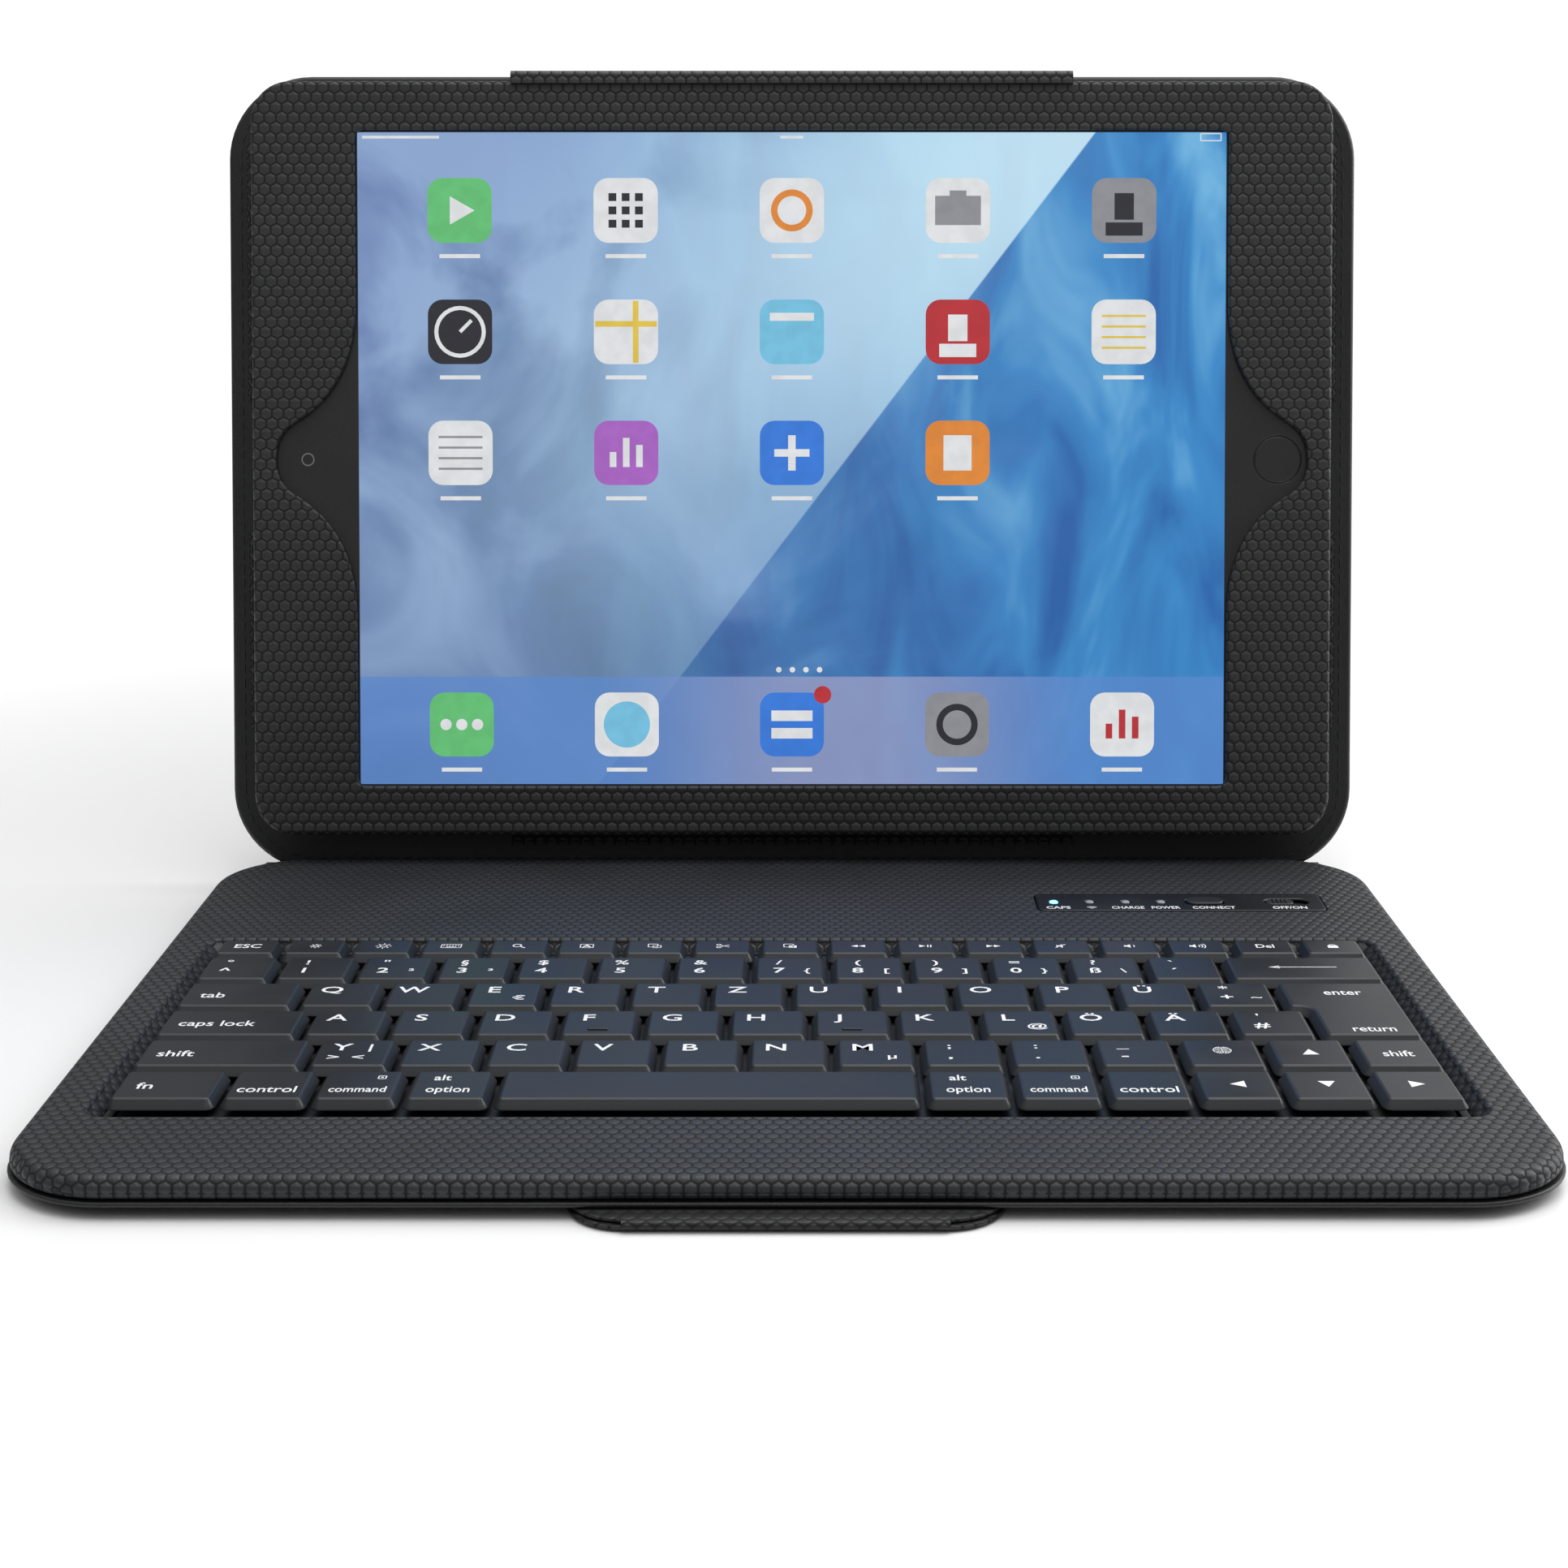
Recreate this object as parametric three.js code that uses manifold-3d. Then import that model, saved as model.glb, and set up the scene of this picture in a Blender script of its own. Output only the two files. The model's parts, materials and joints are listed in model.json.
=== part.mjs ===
// Folding keyboard case for a 9.7 inch tablet, standing open like a laptop.
//
// Millimetres, +Z up. The case stands on z = 0, +Y points to its rear, and the finished group is
// moved so that the origin is the centre of its footprint. Inside this file y = 0 is the rear edge
// of the keyboard half. The lid is drawn upright in its own frame: x across, u up from its fold,
// n forward from the inner face of its cover.

import * as THREE from 'three';
import { mergeVertices } from 'three/addons/utils/BufferGeometryUtils.js';
import Module from 'manifold-3d';

const wasm = await Module();
wasm.setup();

// ---------------------------------------------------------------- driving dimensions

const GAP = 0.3;                       // clearance between neighbouring pieces

const BASE_WIDTH = 258;
const BASE_DEPTH = 183;
const BASE_CORNER = 19.5;
const PANEL_MARGIN = 0.5;              // the bottom panel stands out this far all round
const PANEL_BOTTOM = 1.7;
const PANEL_TOP = 2.6;
const PANEL_BEVEL = 0.3;
const SURROUND_BOTTOM = 2.8;
const SURROUND_TOP = 6.6;
const SURROUND_BEVEL = 1.5;
const CAVITY = { left: -112, right: 112, front: -58, rear: -8, top: 5.1 };
const TRAY = { floor: 3.2, top: 4.4, wall: 1.5 };
const BASE_PLATE = { bottom: 3.4, top: 3.7, inset: 2.4 };
const DOME_SHEET = { bottom: 3.9, top: 4.4, inset: 2.6 };
const BATTERY = { left: -96, right: -18, front: -53, rear: -14, bottom: 2.9, top: 4.8 };
const BOARD = { left: 14, right: 104, front: -53, rear: -14, bottom: 3.1, top: 4.1 };
const PORT = { front: -34, rear: -26, bottom: 2.9, top: 4.8, depth: 7.8, wall: 0.45 };

const KEY_UNIT = 15.65;
const KEY_GAP = 0.75;
const KEY_SIDE_TAPER = 1.05;
const KEY_BOTTOM = 5.8;
const KEY_TOP = 7.8;
const KEY_WEB_HEIGHT = 0.5;
const ROW_UNITS = 15;
const FUNCTION_KEYS = 17;
const FUNCTION_PITCH_Y = 11;
const WINDOW_WIDTH = 235.5;
const WINDOW_REAR = -62.8;
const WINDOW_FRONT = -154.5;
const WINDOW_MARGIN = 1.2;             // from the window's rear wall to the first row of keys

const STATUS = { left: 53, right: 115.5, front: -42, rear: -29, floor: 5.7, top: 6.75 };
const LED_X = { caps_led: 57, wireless_led: 64.8, charge_led: 72.6, power_led: 80.3 };
const LED_RADIUS = 0.9;
const CONNECT_X = 89.7;
const SWITCH_X = 106;
const SWITCH_TRAVEL = 3;

const FOLD_Y = 2.4;                    // the two folds at the base and the lid, behind the base
const LOWER_FOLD_Z = 0.45;
const UPPER_FOLD_Z = 1.45;
const LEAF_LENGTH = 9.6;
const LEAF_WIDTH = 249;
const LEAF_THICKNESS = 0.7;
const FOLD_HALF_GAP = 1.2;             // bare fold each side of a fold axis

const LID_LEAN = 12.75;                // degrees back from vertical
const LID_WIDTH = 259;
const LID_BOTTOM = 1.1;
const LID_TOP = 183.9;
const LID_CORNER = 19;
const LID_THICKNESS = 2.2;
const TABLET_BOTTOM = 10.55;
const TABLET_TOP = 180.05;
const TABLET_WIDTH = 240;
const TABLET_CORNER = 8.5;
const TABLET_BACK_N = 1.2;
const TABLET_FLOOR_N = 2.3;
const GLASS_BACK_N = 7.4;
const GLASS_FRONT_N = 8.0;
const HOME_X = 110.6;
const HOME_RADIUS = 5.3;
const REAR_LENS = { x: -107, u: 170, hole: 7, lens: 4.6 };
const LINING_EDGE = { halfWidth: 118, low: 12.5, high: 178.5 };
const FRAME_WIDTH = 245;
const FRAME_BOTTOM = 9.8;
const FRAME_TOP = 180.5;
const FRAME_CORNER = 9;
const FRAME_BACK_N = 8.3;
const FRAME_FRONT_N = 9.7;
const DISPLAY_CENTRE_U = 95.3;
const DISPLAY_HALF_WIDTH = 98.95;
const DISPLAY_HALF_HEIGHT = 74.3;
const WAVE_REACH = 18.2;               // how far a cut-out reaches past the window's side
const WAVE_HALF_HEIGHT = 34;

const TAB_WIDTH = 71;
const TAB_CORNER = 10;
const TAB_FOLD_Y = -BASE_DEPTH - 5.5;
const TAB_ROOT_FRONT = TAB_FOLD_Y + 1.3;  // leaves room for the riser to stand up in front of it
const TAB_ROOT_END = -BASE_DEPTH + 12;
const TAB_RISER_LENGTH = 20.9;
const TAB_CLASP_LENGTH = 30;
const TAB_LOWER_TOP = 0.7;
const TAB_UPPER_BOTTOM = 0.9;
const TAB_UPPER_TOP = 1.45;
const MAGNET_RADIUS = 5;
const MAGNET_FROM_END = 11;
const FOLD_ROOM = 0.6;                  // bare fold each side of the clasp's fold line

// The flap's low and high are above the top of the tablet.
const FLAP = { halfWidth: 63.5, low: 0.8, high: 2.2, backN: 2.0, frontN: 9.4 };
const GUSSET = { wall: 1.2, flange: 3.2, flangeThickness: 0.7, frontN: 8.0, gap: 0.5 };
const BOTTOM_GUSSET_HALF = 65;
const SIDE_GUSSETS = { upper: [109.8, 168.3], lower: [34.3, 79.3] };

// ---------------------------------------------------------------- helpers

const FAUX_LEATHER = () => new THREE.MeshStandardMaterial({ color: 0x2b2d30, roughness: 0.62 });
const SMOOTH_COVER = () => new THREE.MeshStandardMaterial({ color: 0x1c1d1f, roughness: 0.5 });
const LINING = () => new THREE.MeshStandardMaterial({ color: 0x2a2b2e, roughness: 0.95 });
const BLACK_PLASTIC = () => new THREE.MeshStandardMaterial({ color: 0x14171b, roughness: 0.38 });
const KEY_PLASTIC = () => new THREE.MeshStandardMaterial({ color: 0x1b2733, roughness: 0.42 });
const STEEL = () => new THREE.MeshStandardMaterial({ color: 0x9da1a6, roughness: 0.4, metalness: 1 });
const RUBBER = () => new THREE.MeshStandardMaterial({ color: 0x3a3d40, roughness: 0.8 });
const CIRCUIT = () => new THREE.MeshStandardMaterial({ color: 0x14502c, roughness: 0.5 });
const BATTERY_FOIL = () => new THREE.MeshStandardMaterial({ color: 0xa9abad, roughness: 0.45 });
const GLASS = () => new THREE.MeshStandardMaterial({ color: 0x07080a, roughness: 0.06 });
const ALUMINIUM = () => new THREE.MeshStandardMaterial({ color: 0x8f9296, roughness: 0.35, metalness: 1 });
const LED_PLASTIC = () => new THREE.MeshStandardMaterial({ color: 0xb9c4d0, roughness: 0.3 });

const ARC_STEPS = 6;

function roundedPath(path, left, front, right, rear, frontRadius, rearRadius = frontRadius) {
  path.moveTo(left + frontRadius, front);
  path.lineTo(right - frontRadius, front);
  path.absarc(right - frontRadius, front + frontRadius, frontRadius, -Math.PI / 2, 0, false);
  path.lineTo(right, rear - rearRadius);
  path.absarc(right - rearRadius, rear - rearRadius, rearRadius, 0, Math.PI / 2, false);
  path.lineTo(left + rearRadius, rear);
  path.absarc(left + rearRadius, rear - rearRadius, rearRadius, Math.PI / 2, Math.PI, false);
  path.lineTo(left, front + frontRadius);
  path.absarc(left + frontRadius, front + frontRadius, frontRadius, Math.PI, 1.5 * Math.PI, false);
  return path;
}

function roundedShape(left, front, right, rear, frontRadius, rearRadius) {
  return roundedPath(new THREE.Shape(), left, front, right, rear, frontRadius, rearRadius);
}

function circleHole(x, y, radius) {
  return new THREE.Path().absarc(x, y, radius, 0, 2 * Math.PI, false);
}

// A flat piece from a shape, between two heights, with its edges bevelled by the given amount.
function plate(shape, bottom, top, bevel = 0, bevelSegments = 1) {
  const geometry = new THREE.ExtrudeGeometry(shape, {
    depth: top - bottom - 2 * bevel,
    bevelEnabled: bevel > 0,
    bevelThickness: bevel,
    bevelSize: bevel,
    bevelOffset: -bevel,
    bevelSegments,
    curveSegments: ARC_STEPS,
  });
  geometry.translate(0, 0, bottom + bevel);
  return geometry;
}

// The same for a piece of the lid: the shape is in x and u, the heights are values of n.
function lidPlate(shape, backN, frontN, bevel = 0) {
  const geometry = plate(shape, backN, frontN, bevel);
  geometry.rotateX(Math.PI / 2);
  geometry.translate(0, -LID_THICKNESS / 2, 0);
  return geometry;
}

function box(left, front, bottom, right, rear, top) {
  const geometry = new THREE.BoxGeometry(right - left, rear - front, top - bottom);
  geometry.translate((left + right) / 2, (front + rear) / 2, (bottom + top) / 2);
  return geometry;
}

function asSolid(geometry) {
  const bare = geometry.clone();
  bare.deleteAttribute('normal');
  bare.deleteAttribute('uv');
  const merged = mergeVertices(bare, 1e-4);
  const vertProperties = new Float32Array(merged.attributes.position.array);
  const triVerts = new Uint32Array(merged.index.array);
  return new wasm.Manifold(new wasm.Mesh({ numProp: 3, vertProperties, triVerts }));
}

function asGeometry(solid) {
  const mesh = solid.getMesh();
  const geometry = new THREE.BufferGeometry();
  geometry.setAttribute('position', new THREE.BufferAttribute(mesh.vertProperties, 3));
  geometry.setIndex(new THREE.BufferAttribute(mesh.triVerts, 1));
  geometry.computeVertexNormals();
  return geometry;
}

function subtract(geometry, ...cutters) {
  return asGeometry(cutters.reduce((rest, cutter) => rest.subtract(asSolid(cutter)), asSolid(geometry)));
}

function join(...geometries) {
  return asGeometry(geometries.map(asSolid).reduce((whole, solid) => whole.add(solid)));
}

function addPiece(group, name, geometry, material) {
  const mesh = new THREE.Mesh(geometry, material);
  mesh.name = name;
  group.add(mesh);
}

// ---------------------------------------------------------------- keyboard half

const HALF_BASE = BASE_WIDTH / 2;
const WINDOW_HALF = WINDOW_WIDTH / 2;

function bottomPanel() {
  const edge = HALF_BASE + PANEL_MARGIN;
  const corner = BASE_CORNER + PANEL_MARGIN;
  const shape = roundedShape(-edge, -BASE_DEPTH - PANEL_MARGIN, edge, PANEL_MARGIN, corner);
  return plate(shape, PANEL_BOTTOM, PANEL_TOP, PANEL_BEVEL);
}

function statusOutline(inset) {
  const { left, front, right, rear } = STATUS;
  return roundedShape(left + inset, front + inset, right - inset, rear - inset, 2);
}

function keyboardSurround() {
  const shape = roundedShape(-HALF_BASE, -BASE_DEPTH, HALF_BASE, 0, BASE_CORNER);
  shape.holes.push(roundedPath(new THREE.Path(), -WINDOW_HALF, WINDOW_FRONT, WINDOW_HALF, WINDOW_REAR, 2));
  const body = plate(shape, SURROUND_BOTTOM, SURROUND_TOP, SURROUND_BEVEL, 2);
  const cavity = box(CAVITY.left, CAVITY.front, 0, CAVITY.right, CAVITY.rear, CAVITY.top);
  const recess = plate(statusOutline(0), STATUS.floor, SURROUND_TOP + 1);
  const portSlot = box(
    CAVITY.right - 1, PORT.front - GAP, 0, HALF_BASE + 1, PORT.rear + GAP, CAVITY.top);
  return subtract(body, cavity, recess, portSlot);
}

function keyboardTray() {
  const inset = GAP + 0.05;
  const outer = [-WINDOW_HALF + inset, WINDOW_FRONT + inset, WINDOW_HALF - inset, WINDOW_REAR - inset];
  const inner = [outer[0] + TRAY.wall, outer[1] + TRAY.wall, outer[2] - TRAY.wall, outer[3] - TRAY.wall];
  const tray = plate(roundedShape(...outer, 1.6), SURROUND_BOTTOM, TRAY.top);
  return subtract(tray, plate(roundedShape(...inner, 1), TRAY.floor, TRAY.top + 1));
}

function trayInsert({ bottom, top, inset }) {
  const shape = roundedShape(
    -WINDOW_HALF + inset, WINDOW_FRONT + inset, WINDOW_HALF - inset, WINDOW_REAR - inset, 1);
  return plate(shape, bottom, top);
}

function statusPanel() {
  const shape = statusOutline(GAP);
  const middle = (STATUS.front + STATUS.rear) / 2;
  for (const x of Object.values(LED_X)) {
    shape.holes.push(circleHole(x, middle, LED_RADIUS + GAP));
  }
  shape.holes.push(
    roundedPath(new THREE.Path(), CONNECT_X - 4.3, middle - 2.6, CONNECT_X + 4.3, middle + 2.6, 2.5));
  shape.holes.push(
    roundedPath(new THREE.Path(), SWITCH_X - 3.3, middle - 2.2, SWITCH_X + 6.3, middle + 2.2, 2));
  return plate(shape, STATUS.floor + GAP, STATUS.top);
}

function ledLens(x) {
  const lens = new THREE.CylinderGeometry(LED_RADIUS, LED_RADIUS, 0.9, 12);
  lens.rotateX(Math.PI / 2);
  lens.translate(x, (STATUS.front + STATUS.rear) / 2, STATUS.floor + GAP + 0.45);
  return lens;
}

function circuitBoard() {
  return box(BOARD.left, BOARD.front, BOARD.bottom, BOARD.right, BOARD.rear, BOARD.top);
}

function batteryPack() {
  const shape = roundedShape(BATTERY.left, BATTERY.front, BATTERY.right, BATTERY.rear, 2);
  return plate(shape, BATTERY.bottom, BATTERY.top);
}

function chargePort() {
  const mouth = HALF_BASE - 1.2;
  const shell = box(mouth - PORT.depth, PORT.front, PORT.bottom, mouth, PORT.rear, PORT.top);
  const inside = box(
    mouth - PORT.depth + 2, PORT.front + PORT.wall, PORT.bottom + PORT.wall,
    HALF_BASE, PORT.rear - PORT.wall, PORT.top - PORT.wall);
  return subtract(shell, inside);
}

const tabletCase = new THREE.Group();
const base = new THREE.Group();
tabletCase.add(base);

addPiece(base, 'bottom_panel', bottomPanel(), SMOOTH_COVER());
addPiece(base, 'keyboard_surround', keyboardSurround(), FAUX_LEATHER());
addPiece(base, 'keyboard_tray', keyboardTray(), BLACK_PLASTIC());
addPiece(base, 'base_plate', trayInsert(BASE_PLATE), STEEL());
addPiece(base, 'dome_sheet', trayInsert(DOME_SHEET), RUBBER());
addPiece(base, 'circuit_board', circuitBoard(), CIRCUIT());
addPiece(base, 'battery', batteryPack(), BATTERY_FOIL());
addPiece(base, 'charge_port', chargePort(), STEEL());
addPiece(base, 'status_panel', statusPanel(), BLACK_PLASTIC());
for (const [name, x] of Object.entries(LED_X)) {
  addPiece(base, name, ledLens(x), LED_PLASTIC());
}

// ---------------------------------------------------------------- keys and switches

// A cap whose four sides slope in towards its top.
function keyCap(left, front, right, rear) {
  const cap = box(left, front, KEY_BOTTOM, right, rear, KEY_TOP);
  const position = cap.attributes.position;
  for (let i = 0; i < position.count; i += 1) {
    if (position.getZ(i) > KEY_BOTTOM + 1) {
      const x = position.getX(i);
      const y = position.getY(i);
      position.setX(i, x + (x < (left + right) / 2 ? KEY_SIDE_TAPER : -KEY_SIDE_TAPER));
      position.setY(i, y + (y < (front + rear) / 2 ? KEY_SIDE_TAPER : -KEY_SIDE_TAPER));
    }
  }
  return cap;
}

const KEY_ROWS = [
  [['number_keys', 1, 13], ['backspace_key', 2, 1]],
  [['tab_key', 1.5, 1], ['upper_letter_keys', 1, 12], ['enter_key', 1.5, 1]],
  [['caps_lock_key', 1.75, 1], ['home_letter_keys', 1, 12], ['enter_key', 1.25, 1]],
  [['shift_left_key', 2, 1], ['lower_letter_keys', 1, 10], ['globe_key', 1, 1], ['up_arrow_key', 1, 1],
    ['shift_right_key', 1, 1]],
  [['fn_key', 1.25, 1], ['control_left_key', 1, 1], ['command_left_key', 1, 1], ['option_left_key', 1, 1],
    ['space_bar', 4.75, 1], ['option_right_key', 1, 1], ['command_right_key', 1, 1],
    ['control_right_key', 1, 1], ['left_arrow_key', 1, 1], ['down_arrow_key', 1, 1],
    ['right_arrow_key', 1, 1]],
];

const keySolids = new Map();

function addToKey(name, geometry) {
  const list = keySolids.get(name) ?? [];
  list.push(geometry);
  keySolids.set(name, list);
}

// Caps of one width in a row, held together by a thin web under their skirts.
function addCaps(name, left, front, width, depth, count) {
  for (let i = 0; i < count; i += 1) {
    const x = left + i * width;
    const right = x + width - KEY_GAP / 2;
    addToKey(name, keyCap(x + KEY_GAP / 2, front + KEY_GAP / 2, right, front + depth - KEY_GAP / 2));
  }
  if (count > 1) {
    const middle = front + depth / 2;
    const webRight = left + (count - 0.5) * width;
    const webTop = KEY_BOTTOM + KEY_WEB_HEIGHT;
    addToKey(name, box(left + width / 2, middle - 2, KEY_BOTTOM, webRight, middle + 2, webTop));
  }
}

const KEYS_LEFT = -ROW_UNITS * KEY_UNIT / 2;
const FUNCTION_FRONT = WINDOW_REAR - WINDOW_MARGIN - FUNCTION_PITCH_Y;
const FUNCTION_PITCH_X = ROW_UNITS * KEY_UNIT / FUNCTION_KEYS;
addCaps('function_keys', KEYS_LEFT, FUNCTION_FRONT, FUNCTION_PITCH_X, FUNCTION_PITCH_Y, FUNCTION_KEYS);

KEY_ROWS.forEach((row, rowIndex) => {
  const front = FUNCTION_FRONT - (rowIndex + 1) * KEY_UNIT;
  let left = KEYS_LEFT;
  for (const [name, units, count] of row) {
    const continuesAbove = keySolids.has(name);
    const depth = continuesAbove ? 2 * KEY_UNIT : KEY_UNIT;
    addCaps(name, left, front, units * KEY_UNIT, depth, count);
    left += units * KEY_UNIT * count;
  }
});

for (const [name, solids] of keySolids) {
  addPiece(tabletCase, name, solids.length > 1 ? join(...solids) : solids[0], KEY_PLASTIC());
}

function connectButton() {
  const middle = (STATUS.front + STATUS.rear) / 2;
  const shape = roundedShape(CONNECT_X - 4, middle - 2.3, CONNECT_X + 4, middle + 2.3, 2.2);
  return plate(shape, STATUS.floor + 0.45, STATUS.top + 0.5);
}

function powerSwitch() {
  const middle = (STATUS.front + STATUS.rear) / 2;
  const shape = roundedShape(SWITCH_X - 3, middle - 1.8, SWITCH_X + 6 - SWITCH_TRAVEL, middle + 1.8, 1.6);
  return plate(shape, STATUS.floor + GAP, STATUS.top + 0.4);
}

addPiece(tabletCase, 'connect_button', connectButton(), RUBBER());
addPiece(tabletCase, 'power_switch', powerSwitch(), RUBBER());

// ---------------------------------------------------------------- folded spine

function spineLeaf(middleZ) {
  const shape = roundedShape(
    -LEAF_WIDTH / 2, FOLD_Y + FOLD_HALF_GAP, LEAF_WIDTH / 2, FOLD_Y + LEAF_LENGTH - FOLD_HALF_GAP, 1);
  return plate(shape, middleZ - LEAF_THICKNESS / 2, middleZ + LEAF_THICKNESS / 2);
}

addPiece(tabletCase, 'spine_lower', spineLeaf(LOWER_FOLD_Z), SMOOTH_COVER());
addPiece(tabletCase, 'spine_upper', spineLeaf(UPPER_FOLD_Z), SMOOTH_COVER());

// ---------------------------------------------------------------- lid and tablet pocket

const HALF_LID = LID_WIDTH / 2;
const HALF_FRAME = FRAME_WIDTH / 2;
const HALF_TABLET = TABLET_WIDTH / 2;

function backPanel() {
  const shape = roundedShape(-HALF_LID, LID_BOTTOM, HALF_LID, LID_TOP, LID_CORNER);
  shape.holes.push(circleHole(REAR_LENS.x, REAR_LENS.u, REAR_LENS.hole));
  return lidPlate(shape, -LID_THICKNESS, 0, 0.7);
}

function lidLining() {
  const { halfWidth, low, high } = LINING_EDGE;
  const shape = roundedShape(-halfWidth, low, halfWidth, high, TABLET_CORNER);
  shape.holes.push(circleHole(REAR_LENS.x, REAR_LENS.u, REAR_LENS.hole + 0.5));
  return lidPlate(shape, GAP, 0.8);
}

// The window follows the display and swells into a smooth wave beside the camera and the button.
function pocketWindow() {
  const path = new THREE.Path();
  const right = DISPLAY_HALF_WIDTH;
  const low = DISPLAY_CENTRE_U - DISPLAY_HALF_HEIGHT;
  const high = DISPLAY_CENTRE_U + DISPLAY_HALF_HEIGHT;
  const corner = 2;
  const wave = (side, direction) => {
    const point = (out, along) => [side * (right + out), DISPLAY_CENTRE_U + direction * along];
    path.lineTo(...point(0, -WAVE_HALF_HEIGHT));
    path.bezierCurveTo(...point(0.5, -22), ...point(4.6, -15.5), ...point(9.8, -11));
    path.bezierCurveTo(...point(13.8, -7.6), ...point(WAVE_REACH, -7), ...point(WAVE_REACH, 0));
    path.bezierCurveTo(...point(WAVE_REACH, 7), ...point(13.8, 7.6), ...point(9.8, 11));
    path.bezierCurveTo(...point(4.6, 15.5), ...point(0.5, 22), ...point(0, WAVE_HALF_HEIGHT));
  };
  path.moveTo(-right + corner, low);
  path.lineTo(right - corner, low);
  path.absarc(right - corner, low + corner, corner, -Math.PI / 2, 0, false);
  wave(1, 1);
  path.lineTo(right, high - corner);
  path.absarc(right - corner, high - corner, corner, 0, Math.PI / 2, false);
  path.lineTo(-right + corner, high);
  path.absarc(-right + corner, high - corner, corner, Math.PI / 2, Math.PI, false);
  wave(-1, -1);
  path.lineTo(-right, low + corner);
  path.absarc(-right + corner, low + corner, corner, Math.PI, 1.5 * Math.PI, false);
  return path;
}

function pocketFrame() {
  const shape = roundedShape(-HALF_FRAME, FRAME_BOTTOM, HALF_FRAME, FRAME_TOP, FRAME_CORNER);
  shape.holes.push(pocketWindow());
  return lidPlate(shape, FRAME_BACK_N, FRAME_FRONT_N, 0.45);
}

// A gusset is an L in section: a wall that stands on the cover and a flange sewn to it.
function sideGusset(side, lowU, highU) {
  const wallX = HALF_TABLET + GUSSET.gap;
  const flangeFront = -GAP - GUSSET.flangeThickness;
  const wall = box(wallX, -GUSSET.frontN, lowU, wallX + GUSSET.wall, -GAP, highU);
  const flange = box(wallX, flangeFront, lowU, wallX + GUSSET.flange, -GAP, highU);
  const whole = join(wall, flange);
  if (side < 0) {
    whole.rotateZ(Math.PI);
    whole.translate(0, -GUSSET.frontN - GAP, 0);
  }
  whole.translate(0, -LID_THICKNESS / 2, 0);
  return whole;
}

function bottomGusset() {
  const wallTop = TABLET_BOTTOM - GAP;
  const half = BOTTOM_GUSSET_HALF;
  const flangeFront = -GAP - GUSSET.flangeThickness;
  const wall = box(-half, -GUSSET.frontN, wallTop - GUSSET.wall, half, -GAP, wallTop);
  const flange = box(-half, flangeFront, wallTop - GUSSET.flange, half, -GAP, wallTop);
  const whole = join(wall, flange);
  whole.translate(0, -LID_THICKNESS / 2, 0);
  return whole;
}

function tabletShell() {
  const shape = roundedShape(-HALF_TABLET, TABLET_BOTTOM, HALF_TABLET, TABLET_TOP, TABLET_CORNER);
  const body = lidPlate(shape, TABLET_BACK_N, GLASS_BACK_N - GAP, 0.9);
  const wall = 2.4;
  const hollow = roundedShape(
    -HALF_TABLET + wall, TABLET_BOTTOM + wall, HALF_TABLET - wall, TABLET_TOP - wall, TABLET_CORNER - wall);
  return subtract(body, lidPlate(hollow, TABLET_FLOOR_N, GLASS_BACK_N + 1));
}

// The tablet's battery and boards as one block, clear of the home button.
function tabletCore() {
  return lidPlate(
    roundedShape(-HALF_TABLET + 3.5, TABLET_BOTTOM + 3.5, HOME_X - 7, TABLET_TOP - 3.5, 6),
    TABLET_FLOOR_N + GAP, GLASS_BACK_N - 0.5);
}

function tabletGlass() {
  const shape = roundedShape(
    -HALF_TABLET + 0.5, TABLET_BOTTOM + 0.5, HALF_TABLET - 0.5, TABLET_TOP - 0.5, TABLET_CORNER - 0.5);
  shape.holes.push(circleHole(HOME_X, DISPLAY_CENTRE_U, HOME_RADIUS + GAP));
  return lidPlate(shape, GLASS_BACK_N, GLASS_FRONT_N);
}

function lidDisc(x, u, radius, backN, frontN) {
  return lidPlate(new THREE.Shape().absarc(x, u, radius, 0, 2 * Math.PI, false), backN, frontN);
}

function topFlap() {
  const { halfWidth, low, high, backN, frontN } = FLAP;
  const shape = roundedShape(-halfWidth, TABLET_TOP + low, halfWidth, TABLET_TOP + high, 0.2);
  return lidPlate(shape, backN, frontN);
}

const lid = new THREE.Group();
lid.position.set(0, FOLD_Y, UPPER_FOLD_Z);
lid.rotation.x = -THREE.MathUtils.degToRad(LID_LEAN);
tabletCase.add(lid);

addPiece(lid, 'back_panel', backPanel(), SMOOTH_COVER());
addPiece(lid, 'lid_lining', lidLining(), LINING());
addPiece(lid, 'pocket_frame', pocketFrame(), FAUX_LEATHER());
addPiece(lid, 'gusset_bottom', bottomGusset(), FAUX_LEATHER());
for (const [place, [lowU, highU]] of Object.entries(SIDE_GUSSETS)) {
  addPiece(lid, `gusset_left_${place}`, sideGusset(-1, lowU, highU), FAUX_LEATHER());
  addPiece(lid, `gusset_right_${place}`, sideGusset(1, lowU, highU), FAUX_LEATHER());
}
addPiece(lid, 'tablet_shell', tabletShell(), ALUMINIUM());
addPiece(lid, 'tablet_core', tabletCore(), BATTERY_FOIL());
addPiece(lid, 'tablet_glass', tabletGlass(), GLASS());
addPiece(lid, 'rear_lens', lidDisc(REAR_LENS.x, REAR_LENS.u, REAR_LENS.lens, GAP, 0.9), GLASS());
addPiece(lid, 'home_button', lidDisc(HOME_X, DISPLAY_CENTRE_U, HOME_RADIUS, 6.8, 7.95), BLACK_PLASTIC());
addPiece(lid, 'top_flap', topFlap(), FAUX_LEATHER());

// ---------------------------------------------------------------- closure tab, folded under the base

const HALF_TAB = TAB_WIDTH / 2;
const RISER_END = TAB_FOLD_Y + TAB_RISER_LENGTH;
const CLASP_END = RISER_END + TAB_CLASP_LENGTH;
const MAGNET_Y = CLASP_END - MAGNET_FROM_END;

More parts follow.
